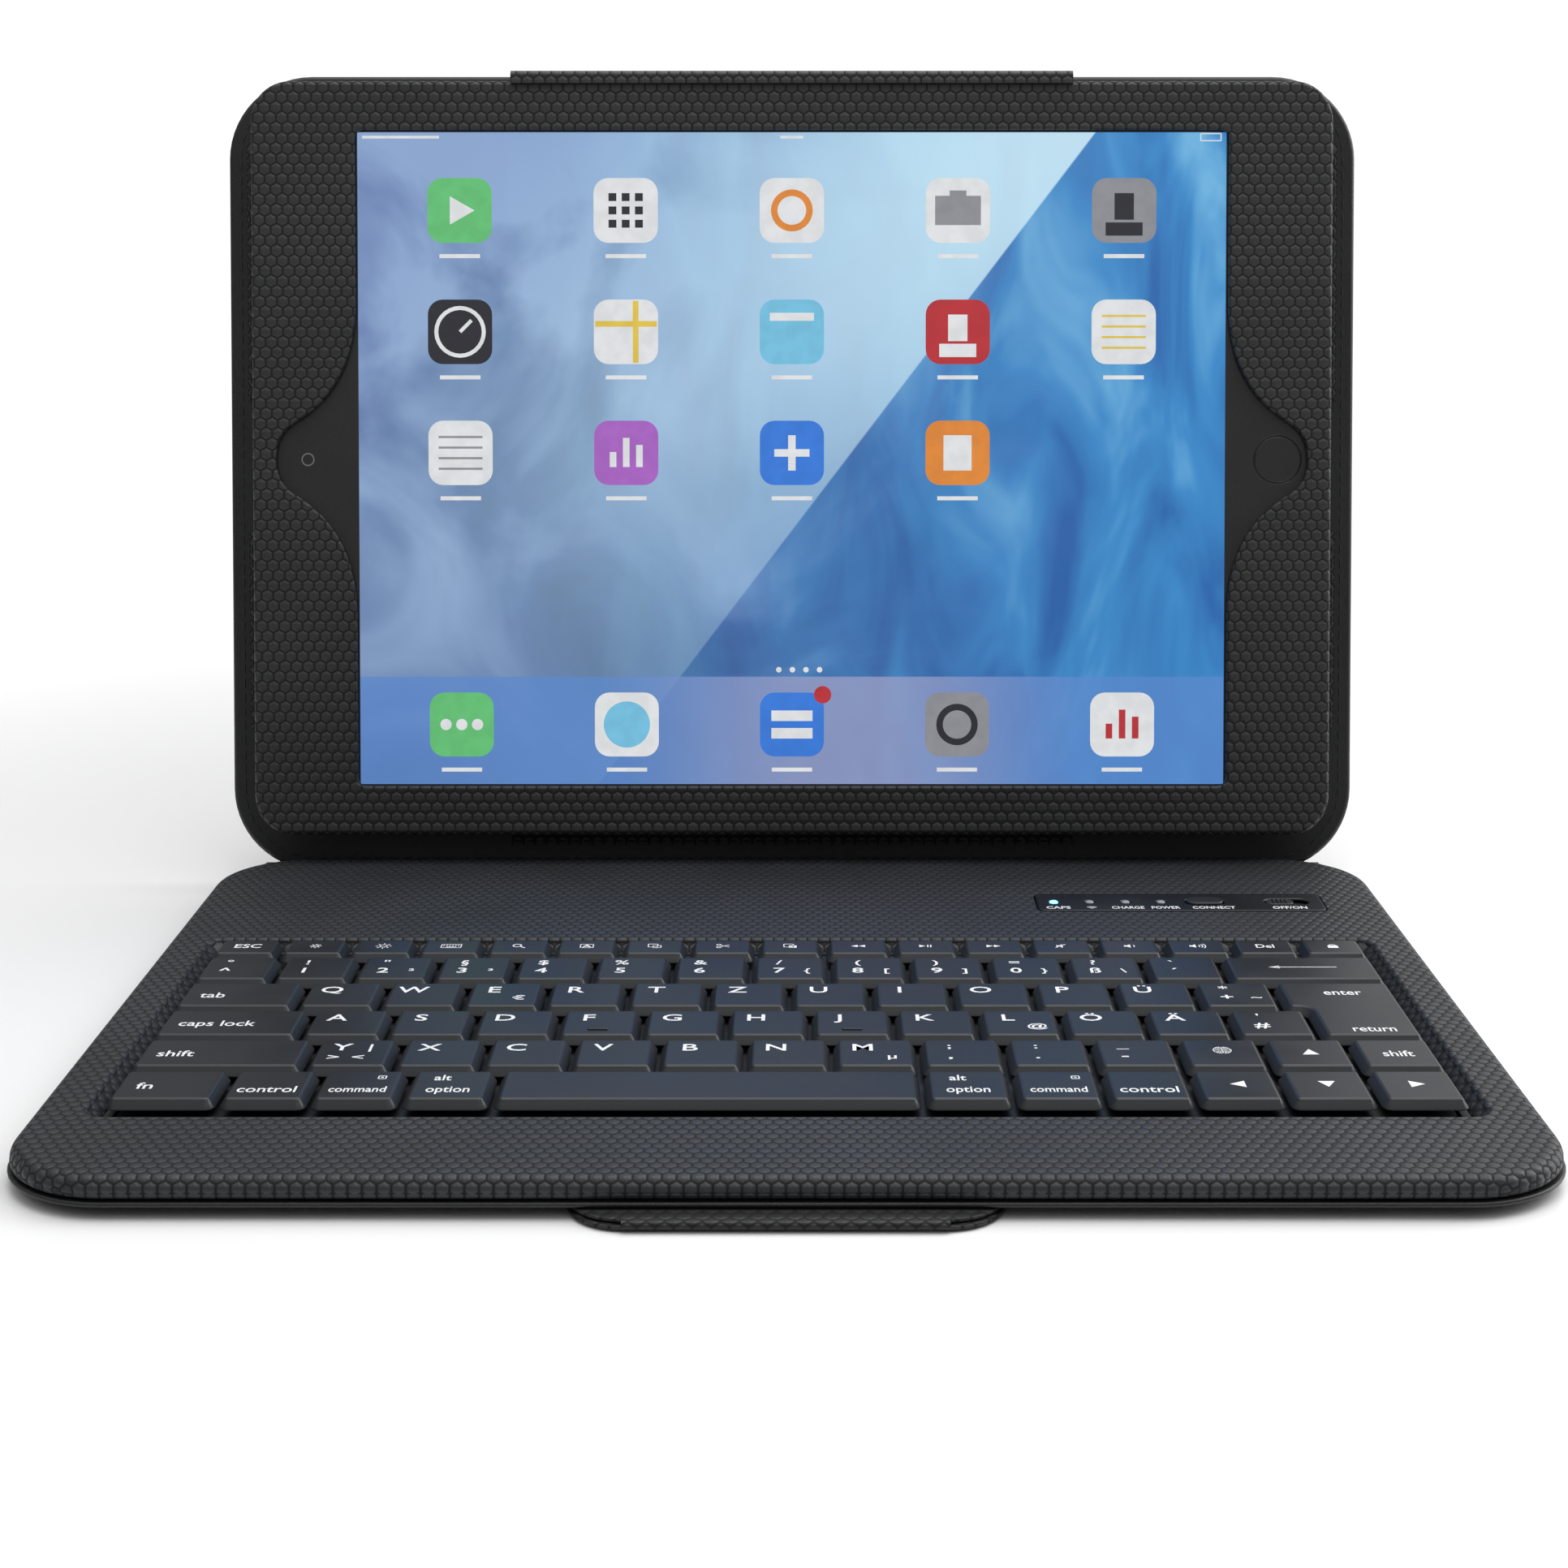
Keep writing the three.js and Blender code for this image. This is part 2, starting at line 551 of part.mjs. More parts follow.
function closureRoot() {
  const shape = roundedShape(-HALF_TAB, TAB_ROOT_FRONT, HALF_TAB, TAB_ROOT_END, TAB_CORNER, 2);
  return plate(shape, TAB_UPPER_BOTTOM, TAB_UPPER_TOP);
}

function closureRiser() {
  const shape = roundedShape(-HALF_TAB, TAB_FOLD_Y + 0.4, HALF_TAB, RISER_END - FOLD_ROOM, TAB_CORNER, 1);
  return plate(shape, 0, TAB_LOWER_TOP);
}

function closureClasp() {
  const shape = roundedShape(-HALF_TAB, RISER_END + FOLD_ROOM, HALF_TAB, CLASP_END, 1, TAB_CORNER);
  shape.holes.push(circleHole(0, MAGNET_Y, MAGNET_RADIUS + GAP));
  return plate(shape, 0, TAB_LOWER_TOP);
}

function claspMagnet() {
  const disc = new THREE.Shape().absarc(0, MAGNET_Y, MAGNET_RADIUS, 0, 2 * Math.PI, false);
  return plate(disc, 0.1, TAB_LOWER_TOP - 0.1);
}

addPiece(base, 'closure_root', closureRoot(), FAUX_LEATHER());
addPiece(tabletCase, 'closure_riser', closureRiser(), FAUX_LEATHER());
addPiece(tabletCase, 'closure_clasp', closureClasp(), FAUX_LEATHER());
addPiece(tabletCase, 'clasp_magnet', claspMagnet(), STEEL());

// ---------------------------------------------------------------- origin under the middle of the case

tabletCase.updateMatrixWorld(true);
const extent = new THREE.Box3().setFromObject(tabletCase, true);
const middle = extent.getCenter(new THREE.Vector3());
tabletCase.position.set(-middle.x, -middle.y, -extent.min.z);

export default tabletCase;
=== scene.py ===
"""Folding tablet keyboard case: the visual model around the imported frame.

Lengths in the geometry code are millimetres. Base points are (x, y, z) with y = 0 at the rear edge
of the keyboard half. Lid points are (x, u, n): u runs up from the fold, n forward from the cover's
inner face. Both are turned into metres in the frame by base_point and lid_point.
"""
import json
import math

import bmesh
import bpy
from mathutils import Matrix, Vector
from mathutils.geometry import tessellate_polygon


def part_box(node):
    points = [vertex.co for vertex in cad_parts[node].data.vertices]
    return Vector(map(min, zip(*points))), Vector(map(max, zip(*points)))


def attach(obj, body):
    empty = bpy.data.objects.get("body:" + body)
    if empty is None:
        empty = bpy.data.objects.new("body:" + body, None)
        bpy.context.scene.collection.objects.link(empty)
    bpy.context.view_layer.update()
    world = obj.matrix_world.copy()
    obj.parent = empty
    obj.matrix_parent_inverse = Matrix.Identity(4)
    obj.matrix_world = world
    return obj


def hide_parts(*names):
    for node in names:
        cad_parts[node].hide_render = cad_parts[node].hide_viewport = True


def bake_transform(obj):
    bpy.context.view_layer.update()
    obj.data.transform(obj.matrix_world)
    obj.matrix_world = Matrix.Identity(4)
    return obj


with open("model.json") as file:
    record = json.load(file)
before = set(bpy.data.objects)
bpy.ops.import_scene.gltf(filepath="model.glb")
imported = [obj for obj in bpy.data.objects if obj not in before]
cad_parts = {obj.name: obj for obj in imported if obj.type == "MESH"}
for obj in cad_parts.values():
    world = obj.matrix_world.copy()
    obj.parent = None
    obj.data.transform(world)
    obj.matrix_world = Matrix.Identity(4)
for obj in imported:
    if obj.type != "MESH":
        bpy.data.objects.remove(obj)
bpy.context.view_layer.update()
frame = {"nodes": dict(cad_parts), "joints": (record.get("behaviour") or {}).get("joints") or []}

MM = 0.001
NO_AREA = 1e-16
JOINTS = {joint["name"]: joint for joint in frame["joints"]}

# ------------------------------------------------------------------ places taken from the frame

REAR_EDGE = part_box("keyboard_surround")[1].y / MM
BASE_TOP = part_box("keyboard_surround")[1].z / MM
KEY_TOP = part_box("space_bar")[1].z / MM
KEY_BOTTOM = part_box("space_bar")[0].z / MM
BASE_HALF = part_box("keyboard_surround")[1].x / MM
BASE_DEPTH = REAR_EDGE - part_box("keyboard_surround")[0].y / MM
PANEL_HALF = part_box("bottom_panel")[1].x / MM
LID_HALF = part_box("back_panel")[1].x / MM
LEAN = math.radians(12.75)
COVER_INNER = 1.1
LID_MATRIX = Matrix.Translation(Vector(JOINTS["lid_fold"]["pos_m"])) @ Matrix.Rotation(-LEAN, 4, "X")


def base_point(x, y, z):
    return Vector((x, REAR_EDGE + y, z)) * MM


def lid_point(x, u, n):
    return LID_MATRIX @ (Vector((x, -COVER_INNER - n, u)) * MM)


# ------------------------------------------------------------------ outlines

def polygon_outline(corners, radii, offset=0.0, steps=8):
    """A counter-clockwise polygon with rounded corners, moved outwards by offset."""
    corners = [Vector(corner) for corner in corners]
    points = []
    for i, corner in enumerate(corners):
        along_in = (corner - corners[i - 1]).normalized()
        along_out = (corners[(i + 1) % len(corners)] - corner).normalized()
        convex = along_in.x * along_out.y - along_in.y * along_out.x > 0
        normal_in = Vector((along_in.y, -along_in.x))
        normal_out = Vector((along_out.y, -along_out.x))
        moved = corner + (normal_in + normal_out) * (offset / (1 + normal_in.dot(normal_out)))
        radius = max(radii[i] + (offset if convex else -offset), 0.03)
        turn = along_in.angle(along_out)
        side = -1 if convex else 1
        start = moved - along_in * radius * math.tan(turn / 2)
        centre = start + normal_in * side * radius
        spoke = start - centre
        for step in range(steps + 1):
            angle = -side * turn * step / steps
            c, s = math.cos(angle), math.sin(angle)
            points.append(centre + Vector((spoke.x * c - spoke.y * s, spoke.x * s + spoke.y * c)))
    return points


def box_outline(left, front, right, rear, radius, offset=0.0, steps=8):
    corners = [(left, front), (right, front), (right, rear), (left, rear)]
    radii = radius if isinstance(radius, (list, tuple)) else [radius] * 4
    return polygon_outline(corners, radii, offset, steps)


def round_outline(x, y, radius, offset=0.0, steps=32):
    angles = [2 * math.pi * i / steps for i in range(steps)]
    reach = radius + offset
    return [Vector((x + reach * math.cos(a), y + reach * math.sin(a))) for a in angles]


def box_contour(left, front, right, rear, radius, steps=8):
    """A box's outline as a function of its offset, which is what slab takes."""
    return lambda offset: box_outline(left, front, right, rear, radius, offset, steps)


def round_contour(x, y, radius, steps=32):
    return lambda offset: round_outline(x, y, radius, offset, steps)


def moved_outline(points, distance):
    """Any closed counter-clockwise outline, moved outwards along its own normals."""
    moved = []
    for i, point in enumerate(points):
        along = (points[(i + 1) % len(points)] - points[i - 1]).normalized()
        moved.append(point + Vector((along.y, -along.x)) * distance)
    return moved


def bezier(start, first, second, end, steps):
    result = []
    for i in range(1, steps + 1):
        t = i / steps
        s = 1 - t
        result.append(start * s ** 3 + first * (3 * t * s ** 2) + second * (3 * t * t * s) + end * t ** 3)
    return result


# ------------------------------------------------------------------ meshes

class Shape:
    """Collects vertices with their skin coordinates, and faces, and makes one mesh object of them."""

    def __init__(self):
        self.points = []
        self.skin = []
        self.faces = []

    def add_loop(self, points, skin=None):
        start = len(self.points)
        self.points.extend(points)
        self.skin.extend(skin or [(0.0, 0.0)] * len(points))
        return list(range(start, start + len(points)))

    def bridge(self, low, high):
        count = len(low)
        for i in range(count):
            j = (i + 1) % count
            self.faces.append((low[i], low[j], high[j], high[i]))

    def fill(self, loops, up=True):
        """Fills flat loops, the first the outside and the rest holes, with triangles."""
        flat = [[self.points[i] for i in loop] for loop in loops]
        indices = [i for loop in loops for i in loop]
        for a, b, c in tessellate_polygon(flat):
            face = (indices[a], indices[b], indices[c])
            pa, pb, pc = (self.points[k] for k in face)
            facing = (pb - pa).cross(pc - pa).dot(self.up)
            if abs(facing) < NO_AREA:
                continue
            self.faces.append(face if (facing > 0) == up else face[::-1])

    up = Vector((0, 0, 1))

    def make(self, name, body, slot, material, replaces=(), sharp=40, weighted=True):
        mesh = bpy.data.meshes.new(name)
        mesh.from_pydata([tuple(p) for p in self.points], [], self.faces)
        attribute = mesh.attributes.new("skin", "FLOAT2", "POINT")
        attribute.data.foreach_set("vector", [value for pair in self.skin for value in pair])
        mesh.validate()
        mesh.shade_smooth()
        mesh.set_sharp_from_angle(angle=math.radians(sharp))
        piece = bpy.data.objects.new(name, mesh)
        bpy.context.scene.collection.objects.link(piece)
        mesh.materials.append(material)
        if weighted:
            modifier = piece.modifiers.new("even_normals", "WEIGHTED_NORMAL")
            modifier.keep_sharp = True
            modifier.weight = 90
        if replaces:
            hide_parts(*([replaces] if isinstance(replaces, str) else replaces))
        if body:
            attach(piece, body)
        return piece

    def make_sheet(self, name, body, slot, material, replaces=()):
        """A bent sheet or a set of stitches: its faces are turned outwards once it is made."""
        piece = self.make(name, body, slot, material, replaces, weighted=False)
        sheet = bmesh.new()
        sheet.from_mesh(piece.data)
        bmesh.ops.recalc_face_normals(sheet, faces=sheet.faces)
        sheet.to_mesh(piece.data)
        sheet.free()
        return piece


def edge_profile(radius, steps=6):
    """Offset, drop and skin distance round a quarter-round edge, from its flat to its side."""
    for i in range(steps + 1):
        angle = math.pi / 2 * i / steps
        yield radius * (math.sin(angle) - 1), radius * (1 - math.cos(angle)), radius * (angle - 1)


def slab(shape, outline, place, low, high, top_radius, bottom_radius, holes=(), hole_radius=0.5):
    """A plate with rounded edges. outline(offset) and each hole(offset) give loops; place(p, h) puts them."""
    Shape.up = place(Vector((0, 0)), high) - place(Vector((0, 0)), low)

    def side(contour, sign, top_r, bottom_r):
        profile = [(offset, high - drop, skin) for offset, drop, skin in edge_profile(top_r)]
        reach = high - low - top_r - bottom_r
        for offset, drop, skin in reversed(list(edge_profile(bottom_r))):
            profile.append((offset, low + drop, reach - skin))
        loops = []
        for offset, height, skin in profile:
            points = contour(sign * offset)
            skins = [tuple(p) for p in contour(sign * skin)]
            loops.append(shape.add_loop([place(p, height) for p in points], skins))
        for upper, lower in zip(loops, loops[1:]):
            pair = (lower, upper) if sign > 0 else (upper, lower)
            shape.bridge(*pair)
        return loops[0], loops[-1]

    tops, bottoms = [], []
    for contour, sign in [(outline, 1)] + [(hole, -1) for hole in holes]:
        top_r = top_radius if sign > 0 else hole_radius
        bottom_r = bottom_radius if sign > 0 else min(hole_radius, 0.3)
        top, bottom = side(contour, sign, top_r, bottom_r)
        tops.append(top)
        bottoms.append(bottom)
    shape.fill(tops, True)
    shape.fill(bottoms, False)


def base_place(p, height):
    return base_point(p.x, p.y, height)


def lid_place(p, height):
    return lid_point(p.x, p.y, height)


# ------------------------------------------------------------------ materials

class Nodes:
    """A short way to write a node tree."""

    def __init__(self, name):
        self.material = bpy.data.materials.new(name)
        self.material.use_nodes = True
        self.tree = self.material.node_tree
        self.shader = self.tree.nodes["Principled BSDF"]

    def add(self, kind, inputs=None, **settings):
        node = self.tree.nodes.new(kind)
        for key, value in settings.items():
            setattr(node, key, value)
        for key, value in (inputs or {}).items():
            if isinstance(value, bpy.types.NodeSocket):
                self.tree.links.new(value, node.inputs[key])
            else:
                node.inputs[key].default_value = value
        return node

    def math(self, operation, a, b=0.0, clamp=False):
        return self.add("ShaderNodeMath", {0: a, 1: b}, operation=operation, use_clamp=clamp).outputs[0]

    def vector(self, operation, a, b=(0, 0, 0)):
        return self.add("ShaderNodeVectorMath", {0: a, 1: b}, operation=operation)

    def noise(self, scale, detail=3, vector=None, roughness=0.5):
        inputs = {"Scale": scale, "Detail": detail, "Roughness": roughness}
        if vector is not None:
            inputs["Vector"] = vector
        return self.add("ShaderNodeTexNoise", inputs).outputs[0]

    def ramp(self, value, stops):
        node = self.add("ShaderNodeValToRGB", {0: value})
        elements = node.color_ramp.elements
        while len(elements) < len(stops):
            elements.new(0.5)
        for element, (position, colour) in zip(elements, stops):
            element.position = position
            element.color = (*colour, 1)
        return node.outputs[0]

    def smooth(self, value, low, high, out_low=0.0, out_high=1.0):
        node = self.add("ShaderNodeMapRange", {0: value, 1: low, 2: high, 3: out_low, 4: out_high})
        node.interpolation_type = "SMOOTHSTEP"
        return node.outputs[0]

    def mix(self, factor, a, b):
        node = self.add("ShaderNodeMix", data_type="RGBA")
        for socket, value in ((node.inputs[0], factor), (node.inputs[6], a), (node.inputs[7], b)):
            if isinstance(value, bpy.types.NodeSocket):
                self.tree.links.new(value, socket)
            else:
                socket.default_value = value if isinstance(value, float) else (*value, 1)
        return node.outputs[2]

    def where(self):
        return self.add("ShaderNodeTexCoord").outputs["Object"]

    def skin(self):
        return self.add("ShaderNodeAttribute", attribute_name="skin").outputs["Vector"]

    def bump(self, height, distance, strength=1.0, normal=None):
        inputs = {"Height": height, "Distance": distance, "Strength": strength}
        if normal is not None:
            inputs["Normal"] = normal
        return self.add("ShaderNodeBump", inputs).outputs[0]

    def finish(self, colour=None, roughness=None, normal=None, **values):
        for key, value in (("Base Color", colour), ("Roughness", roughness), ("Normal", normal)):
            if isinstance(value, bpy.types.NodeSocket):
                self.tree.links.new(value, self.shader.inputs[key])
            elif value is not None:
                self.shader.inputs[key].default_value = (*value, 1) if key == "Base Color" else value
        for key, value in values.items():
            self.shader.inputs[key.replace("_", " ")].default_value = value
        return self.material


def hexagon_edge(nodes, width):
    """Distance in millimetres from the nearest side of a hexagon grid with this width across flats."""
    pitch = (width, width * math.sqrt(3), 1.0)
    half = (width / 2, width * math.sqrt(3) / 2, 0.0)
    skin = nodes.skin()

    def cell(shift):
        moved = nodes.vector("ADD", skin, shift).outputs[0]
        limits = {0: moved, 1: pitch, 2: (0, 0, 0)}
        wrapped = nodes.add("ShaderNodeVectorMath", limits, operation="WRAP").outputs[0]
        centred = nodes.vector("SUBTRACT", wrapped, half).outputs[0]
        distance = nodes.vector("ABSOLUTE", centred).outputs[0]
        slanted = nodes.vector("DOT_PRODUCT", distance, (0.5, math.sqrt(3) / 2, 0)).outputs["Value"]
        straight = nodes.add("ShaderNodeSeparateXYZ", {0: distance}).outputs[0]
        return nodes.math("MAXIMUM", straight, slanted)

    nearest = nodes.math("MINIMUM", cell((0, 0, 0)), cell(half))
    return nodes.math("SUBTRACT", width / 2, nearest)


# Painted shade: the near-black colour put into the grooves of the embossed leather.
GROOVE_SHADE_COLOUR = (0.0008, 0.0008, 0.001)


def hexagon_leather(name, width, groove, light, dark):
    """Faux leather embossed with domed hexagons between grooves painted near-black with shade."""
    nodes = Nodes(name)
    edge = hexagon_edge(nodes, width)
    where = nodes.where()
    patches = nodes.noise(38, 3, where)
    grain = nodes.noise(5200, 4, where, 0.62)
    plate = nodes.smooth(edge, groove * 0.45, groove)
    dome = nodes.smooth(edge, 0.0, groove * 3)
    tint = nodes.mix(nodes.smooth(patches, 0.3, 0.7), dark, light)
    wear = nodes.math("MULTIPLY", nodes.smooth(grain, 0.45, 0.75), 0.35)
    worn = nodes.mix(wear, tint, [c * 1.6 for c in light])
    # Painted shade: the grooves between the hexagons are coloured near-black.
    colour = nodes.mix(plate, GROOVE_SHADE_COLOUR, worn)
    coarse = nodes.bump(dome, 0.00017, 1.0)
    fine = nodes.bump(grain, 0.00002, 0.4, coarse)
    rough = nodes.smooth(grain, 0.3, 0.8, 0.42, 0.58)
    rough = nodes.math("ADD", rough, nodes.math("MULTIPLY", nodes.math("SUBTRACT", 1.0, plate), 0.3))
    return nodes.finish(colour, rough, fine, Specular_IOR_Level=0.42)


def smooth_leather(name, light, dark, roughness):
    nodes = Nodes(name)
    where = nodes.where()
    cells = {"Vector": where, "Scale": 1500.0}
    pebbles = nodes.add("ShaderNodeTexVoronoi", cells, feature="DISTANCE_TO_EDGE").outputs[0]
    grain = nodes.noise(2600, 4, where, 0.6)
    patches = nodes.noise(30, 3, where)
    colour = nodes.mix(nodes.smooth(patches, 0.3, 0.7), dark, light)
    crease_bump_and_shade = nodes.smooth(pebbles, 0.0, 0.12)
    # Painted shade: the creases between the pebbles are darkened to 0.7 of the dark tone; the same mask also
    # gives the bump.
    colour = nodes.mix(crease_bump_and_shade, [c * 0.7 for c in dark], colour)
    normal = nodes.bump(crease_bump_and_shade, 0.00004, 0.35)
    normal = nodes.bump(grain, 0.00003, 0.3, normal)
    rough = nodes.smooth(grain, 0.3, 0.75, roughness - 0.06, roughness + 0.08)
    return nodes.finish(colour, rough, normal, Specular_IOR_Level=0.45)


def moulded(name, light, dark, roughness, grain_scale=3500, depth=0.000012, **values):
    """Moulded plastic or rubber with a fine spark-eroded grain and slight unevenness."""
    nodes = Nodes(name)
    where = nodes.where()
    grain = nodes.noise(grain_scale, 2, where, 0.55)
    patches = nodes.noise(55, 3, where)
    colour = nodes.mix(nodes.smooth(patches, 0.3, 0.7), dark, light)
    colour = nodes.mix(nodes.smooth(grain, 0.35, 0.75), [c * 0.86 for c in dark], colour)
    rough = nodes.smooth(patches, 0.3, 0.7, roughness - 0.04, roughness + 0.05)
    return nodes.finish(colour, rough, nodes.bump(grain, depth, 0.5), **values)


def woven(name, light, dark):
    nodes = Nodes(name)
    where = nodes.where()
    fibres = nodes.noise(2400, 5, where, 0.7)
    patches = nodes.noise(60, 2, where)
    colour = nodes.mix(fibres, dark, light)
    colour = nodes.mix(nodes.math("MULTIPLY", patches, 0.3), colour, [c * 1.3 for c in light])
    return nodes.finish(colour, 0.95, nodes.bump(fibres, 0.00012, 0.7), Sheen_Weight=0.4)


def brushed(name, colour, roughness, scale=(60.0, 1400.0, 1400.0)):
    nodes = Nodes(name)
    stretched = nodes.vector("MULTIPLY", nodes.where(), scale).outputs[0]
    lines = nodes.noise(1.0, 3, stretched)
    tone = nodes.mix(lines, [c * 0.82 for c in colour], colour)
    rough = nodes.smooth(lines, 0.3, 0.7, roughness - 0.05, roughness + 0.08)
    return nodes.finish(tone, rough, nodes.bump(lines, 0.00001, 0.3), Metallic=1.0)


def glowing(name, colour, strength, body=(0.2, 0.21, 0.23)):
    nodes = Nodes(name)
    grain = nodes.noise(4000, 2, nodes.where())
    tone = nodes.mix(nodes.smooth(grain, 0.3, 0.7), [c * 0.85 for c in body], body)
    nodes.shader.inputs["Emission Color"].default_value = (*colour, 1)
    nodes.shader.inputs["Emission Strength"].default_value = strength
    return nodes.finish(tone, 0.3, nodes.bump(grain, 0.00001, 0.3))


HEX_BASE = hexagon_leather("embossed_leather_base", 2.33, 0.3, (0.026, 0.028, 0.032), (0.018, 0.0195, 0.0225))
HEX_LID = hexagon_leather("embossed_leather_lid", 2.65, 0.28, (0.026, 0.0264, 0.0276), (0.02, 0.0204, 0.0214))
HEX_TAB = hexagon_leather("embossed_leather_tab", 2.94, 0.32, (0.016, 0.0165, 0.0175),
                          (0.011, 0.0115, 0.0125))
COVER = smooth_leather("cover_leather", (0.0125, 0.013, 0.0145), (0.008, 0.0085, 0.0095), 0.42)
KEYS = moulded("key_plastic", (0.0135, 0.0165, 0.022), (0.0105, 0.0125, 0.016), 0.4, Specular_IOR_Level=0.5)
TRAY = moulded("tray_plastic", (0.006, 0.0065, 0.007), (0.004, 0.0042, 0.0045), 0.6)
STRIP = moulded("status_plastic", (0.013, 0.014, 0.017), (0.0095, 0.0105, 0.012), 0.32)
RUBBER = moulded("button_rubber", (0.016, 0.017, 0.018), (0.011, 0.0115, 0.012), 0.45)
TABLET_FACE = moulded("tablet_face", (0.034, 0.034, 0.035), (0.031, 0.031, 0.032), 0.14, depth=0.000001,
                      Coat_Weight=0.5, Coat_Roughness=0.04)
LEGEND = moulded("legend_ink", (0.86, 0.87, 0.88), (0.8, 0.81, 0.82), 0.5)
THREAD = moulded("sewing_thread", (0.02, 0.0205, 0.022), (0.01, 0.0105, 0.011), 0.75, 6000, 0.00004)
STEEL = brushed("brushed_steel", (0.55, 0.56, 0.58), 0.32)
ALUMINIUM = brushed("blasted_aluminium", (0.42, 0.43, 0.45), 0.38, (900.0, 900.0, 900.0))
LINING = woven("brushed_lining", (0.03, 0.031, 0.034), (0.012, 0.0125, 0.014))
LED_BLUE = glowing("led_blue", (0.05, 0.42, 1.0), 14.0, (0.1, 0.4, 0.9))
LED_GREY = glowing("led_grey", (0.5, 0.52, 0.55), 0.06, (0.3, 0.31, 0.33))
CIRCUIT = moulded("solder_mask", (0.02, 0.12, 0.05), (0.012, 0.08, 0.035), 0.4)
FOIL = moulded("battery_foil", (0.5, 0.5, 0.52), (0.38, 0.38, 0.4), 0.45)


def paint_node(node, material):
    mesh = frame["nodes"][node].data
    mesh.materials.clear()
    mesh.materials.append(material)


for node_name, node_material in {
    "keyboard_tray": TRAY, "base_plate": STEEL, "dome_sheet": RUBBER, "circuit_board": CIRCUIT,
    "battery": FOIL, "charge_port": STEEL, "clasp_magnet": STEEL, "lid_lining": LINING, "tablet_core": FOIL,
}.items():
    paint_node(node_name, node_material)

# ------------------------------------------------------------------ camera, floor and light

CAMERA_X = 3.2
CAMERA_BEFORE_REAR = 546.0
CAMERA_ABOVE_TOP = 159.5
CAMERA_PITCH = math.radians(14.6)
FLOOR_HALF = 6.0
FLOOR_BELOW = 0.0004
BACKDROP = 1.05
WORLD_DARK = 0.14
WORLD_CEILING = 1.0
WORLD_WINDOW = 0.75


def add_camera():
    data = bpy.data.cameras.new("camera")
    data.sensor_width = 36
    data.lens = 56.48
    data.shift_x = -0.014
    data.clip_start = 0.01
    camera = bpy.data.objects.new("camera", data)
    camera.location = base_point(CAMERA_X, -CAMERA_BEFORE_REAR, BASE_TOP + CAMERA_ABOVE_TOP)
    camera.rotation_euler = (math.pi / 2 - CAMERA_PITCH, 0, 0)
    bpy.context.scene.collection.objects.link(camera)
    bpy.context.scene.camera = camera


def add_area_light(name, location, target, size, power):
    data = bpy.data.lights.new(name, "AREA")
    data.shape = "RECTANGLE"
    data.size, data.size_y = size
    data.energy = power
    light = bpy.data.objects.new(name, data)
    light.location = location
    light.rotation_euler = (Vector(target) - Vector(location)).to_track_quat("-Z", "Y").to_euler()
    bpy.context.scene.collection.objects.link(light)


def add_floor():
    """A pale glossy table that turns into plain white a little way from the case."""
    nodes = Nodes("studio_floor")
    where = nodes.where()
    away = nodes.add("ShaderNodeVectorMath", {0: where}, operation="LENGTH").outputs["Value"]
    far = nodes.smooth(away, 0.22, 0.5)
    cloud = nodes.noise(3, 2, where)
    rough = nodes.smooth(cloud, 0.3, 0.7, 0.16, 0.2)
    near = nodes.math("SUBTRACT", 1.0, far)
    colour = nodes.mix(far, (0.86, 0.86, 0.865), (0.0, 0.0, 0.0))
    nodes.tree.links.new(nodes.math("MULTIPLY", near, 0.5), nodes.shader.inputs["Specular IOR Level"])
    nodes.tree.links.new(nodes.math("MULTIPLY", far, BACKDROP), nodes.shader.inputs["Emission Strength"])
    nodes.shader.inputs["Emission Color"].default_value = (1, 1, 1, 1)
    floor_material = nodes.finish(colour, rough, None)
    mesh = bpy.data.meshes.new("floor")
    corners = [(x * FLOOR_HALF, y * FLOOR_HALF, 0) for x, y in ((-1, -1), (1, -1), (1, 1), (-1, 1))]
    mesh.from_pydata(corners, [], [(0, 1, 2, 3)])
    mesh.materials.append(floor_material)
    floor = bpy.data.objects.new("floor", mesh)
    floor.location.z = -FLOOR_BELOW
    bpy.context.scene.collection.objects.link(floor)


def add_world():
    """White to the camera. To all else a bright ceiling, a soft window at the rear right, and dark."""
    world = bpy.data.worlds.new("studio")
    bpy.context.scene.world = world
    world.use_nodes = True
    tree = world.node_tree
    background = tree.nodes["Background"]

    def node(kind, inputs=None, **settings):
        made = tree.nodes.new(kind)
        for key, value in settings.items():
            setattr(made, key, value)
        for key, value in (inputs or {}).items():
            if isinstance(value, bpy.types.NodeSocket):
                tree.links.new(value, made.inputs[key])
            else:
                made.inputs[key].default_value = value
        return made

    def band(value, low, high, bottom, top):
        made = node("ShaderNodeMapRange", {0: value, 1: low, 2: high, 3: bottom, 4: top})
        made.interpolation_type = "SMOOTHSTEP"
        return made.outputs[0]

    direction = node("ShaderNodeSeparateXYZ", {0: node("ShaderNodeTexCoord").outputs["Generated"]}).outputs
    ceiling = band(direction[2], 0.3, 0.85, WORLD_DARK, WORLD_CEILING)
    right = band(direction[0], -0.12, 0.42, 0.0, WORLD_WINDOW)
    rear = band(direction[1], -0.2, 0.5, 0.0, 1.0)
    window = node("ShaderNodeMath", {0: right, 1: rear}, operation="MULTIPLY").outputs[0]
    lit = node("ShaderNodeMath", {0: ceiling, 1: window}, operation="ADD").outputs[0]
    seen = node("ShaderNodeLightPath").outputs["Is Camera Ray"]
    strength = node("ShaderNodeMix", {0: seen, 2: lit, 3: BACKDROP}, data_type="FLOAT").outputs[0]
    background.inputs["Color"].default_value = (1, 1, 1, 1)
    tree.links.new(strength, background.inputs["Strength"])


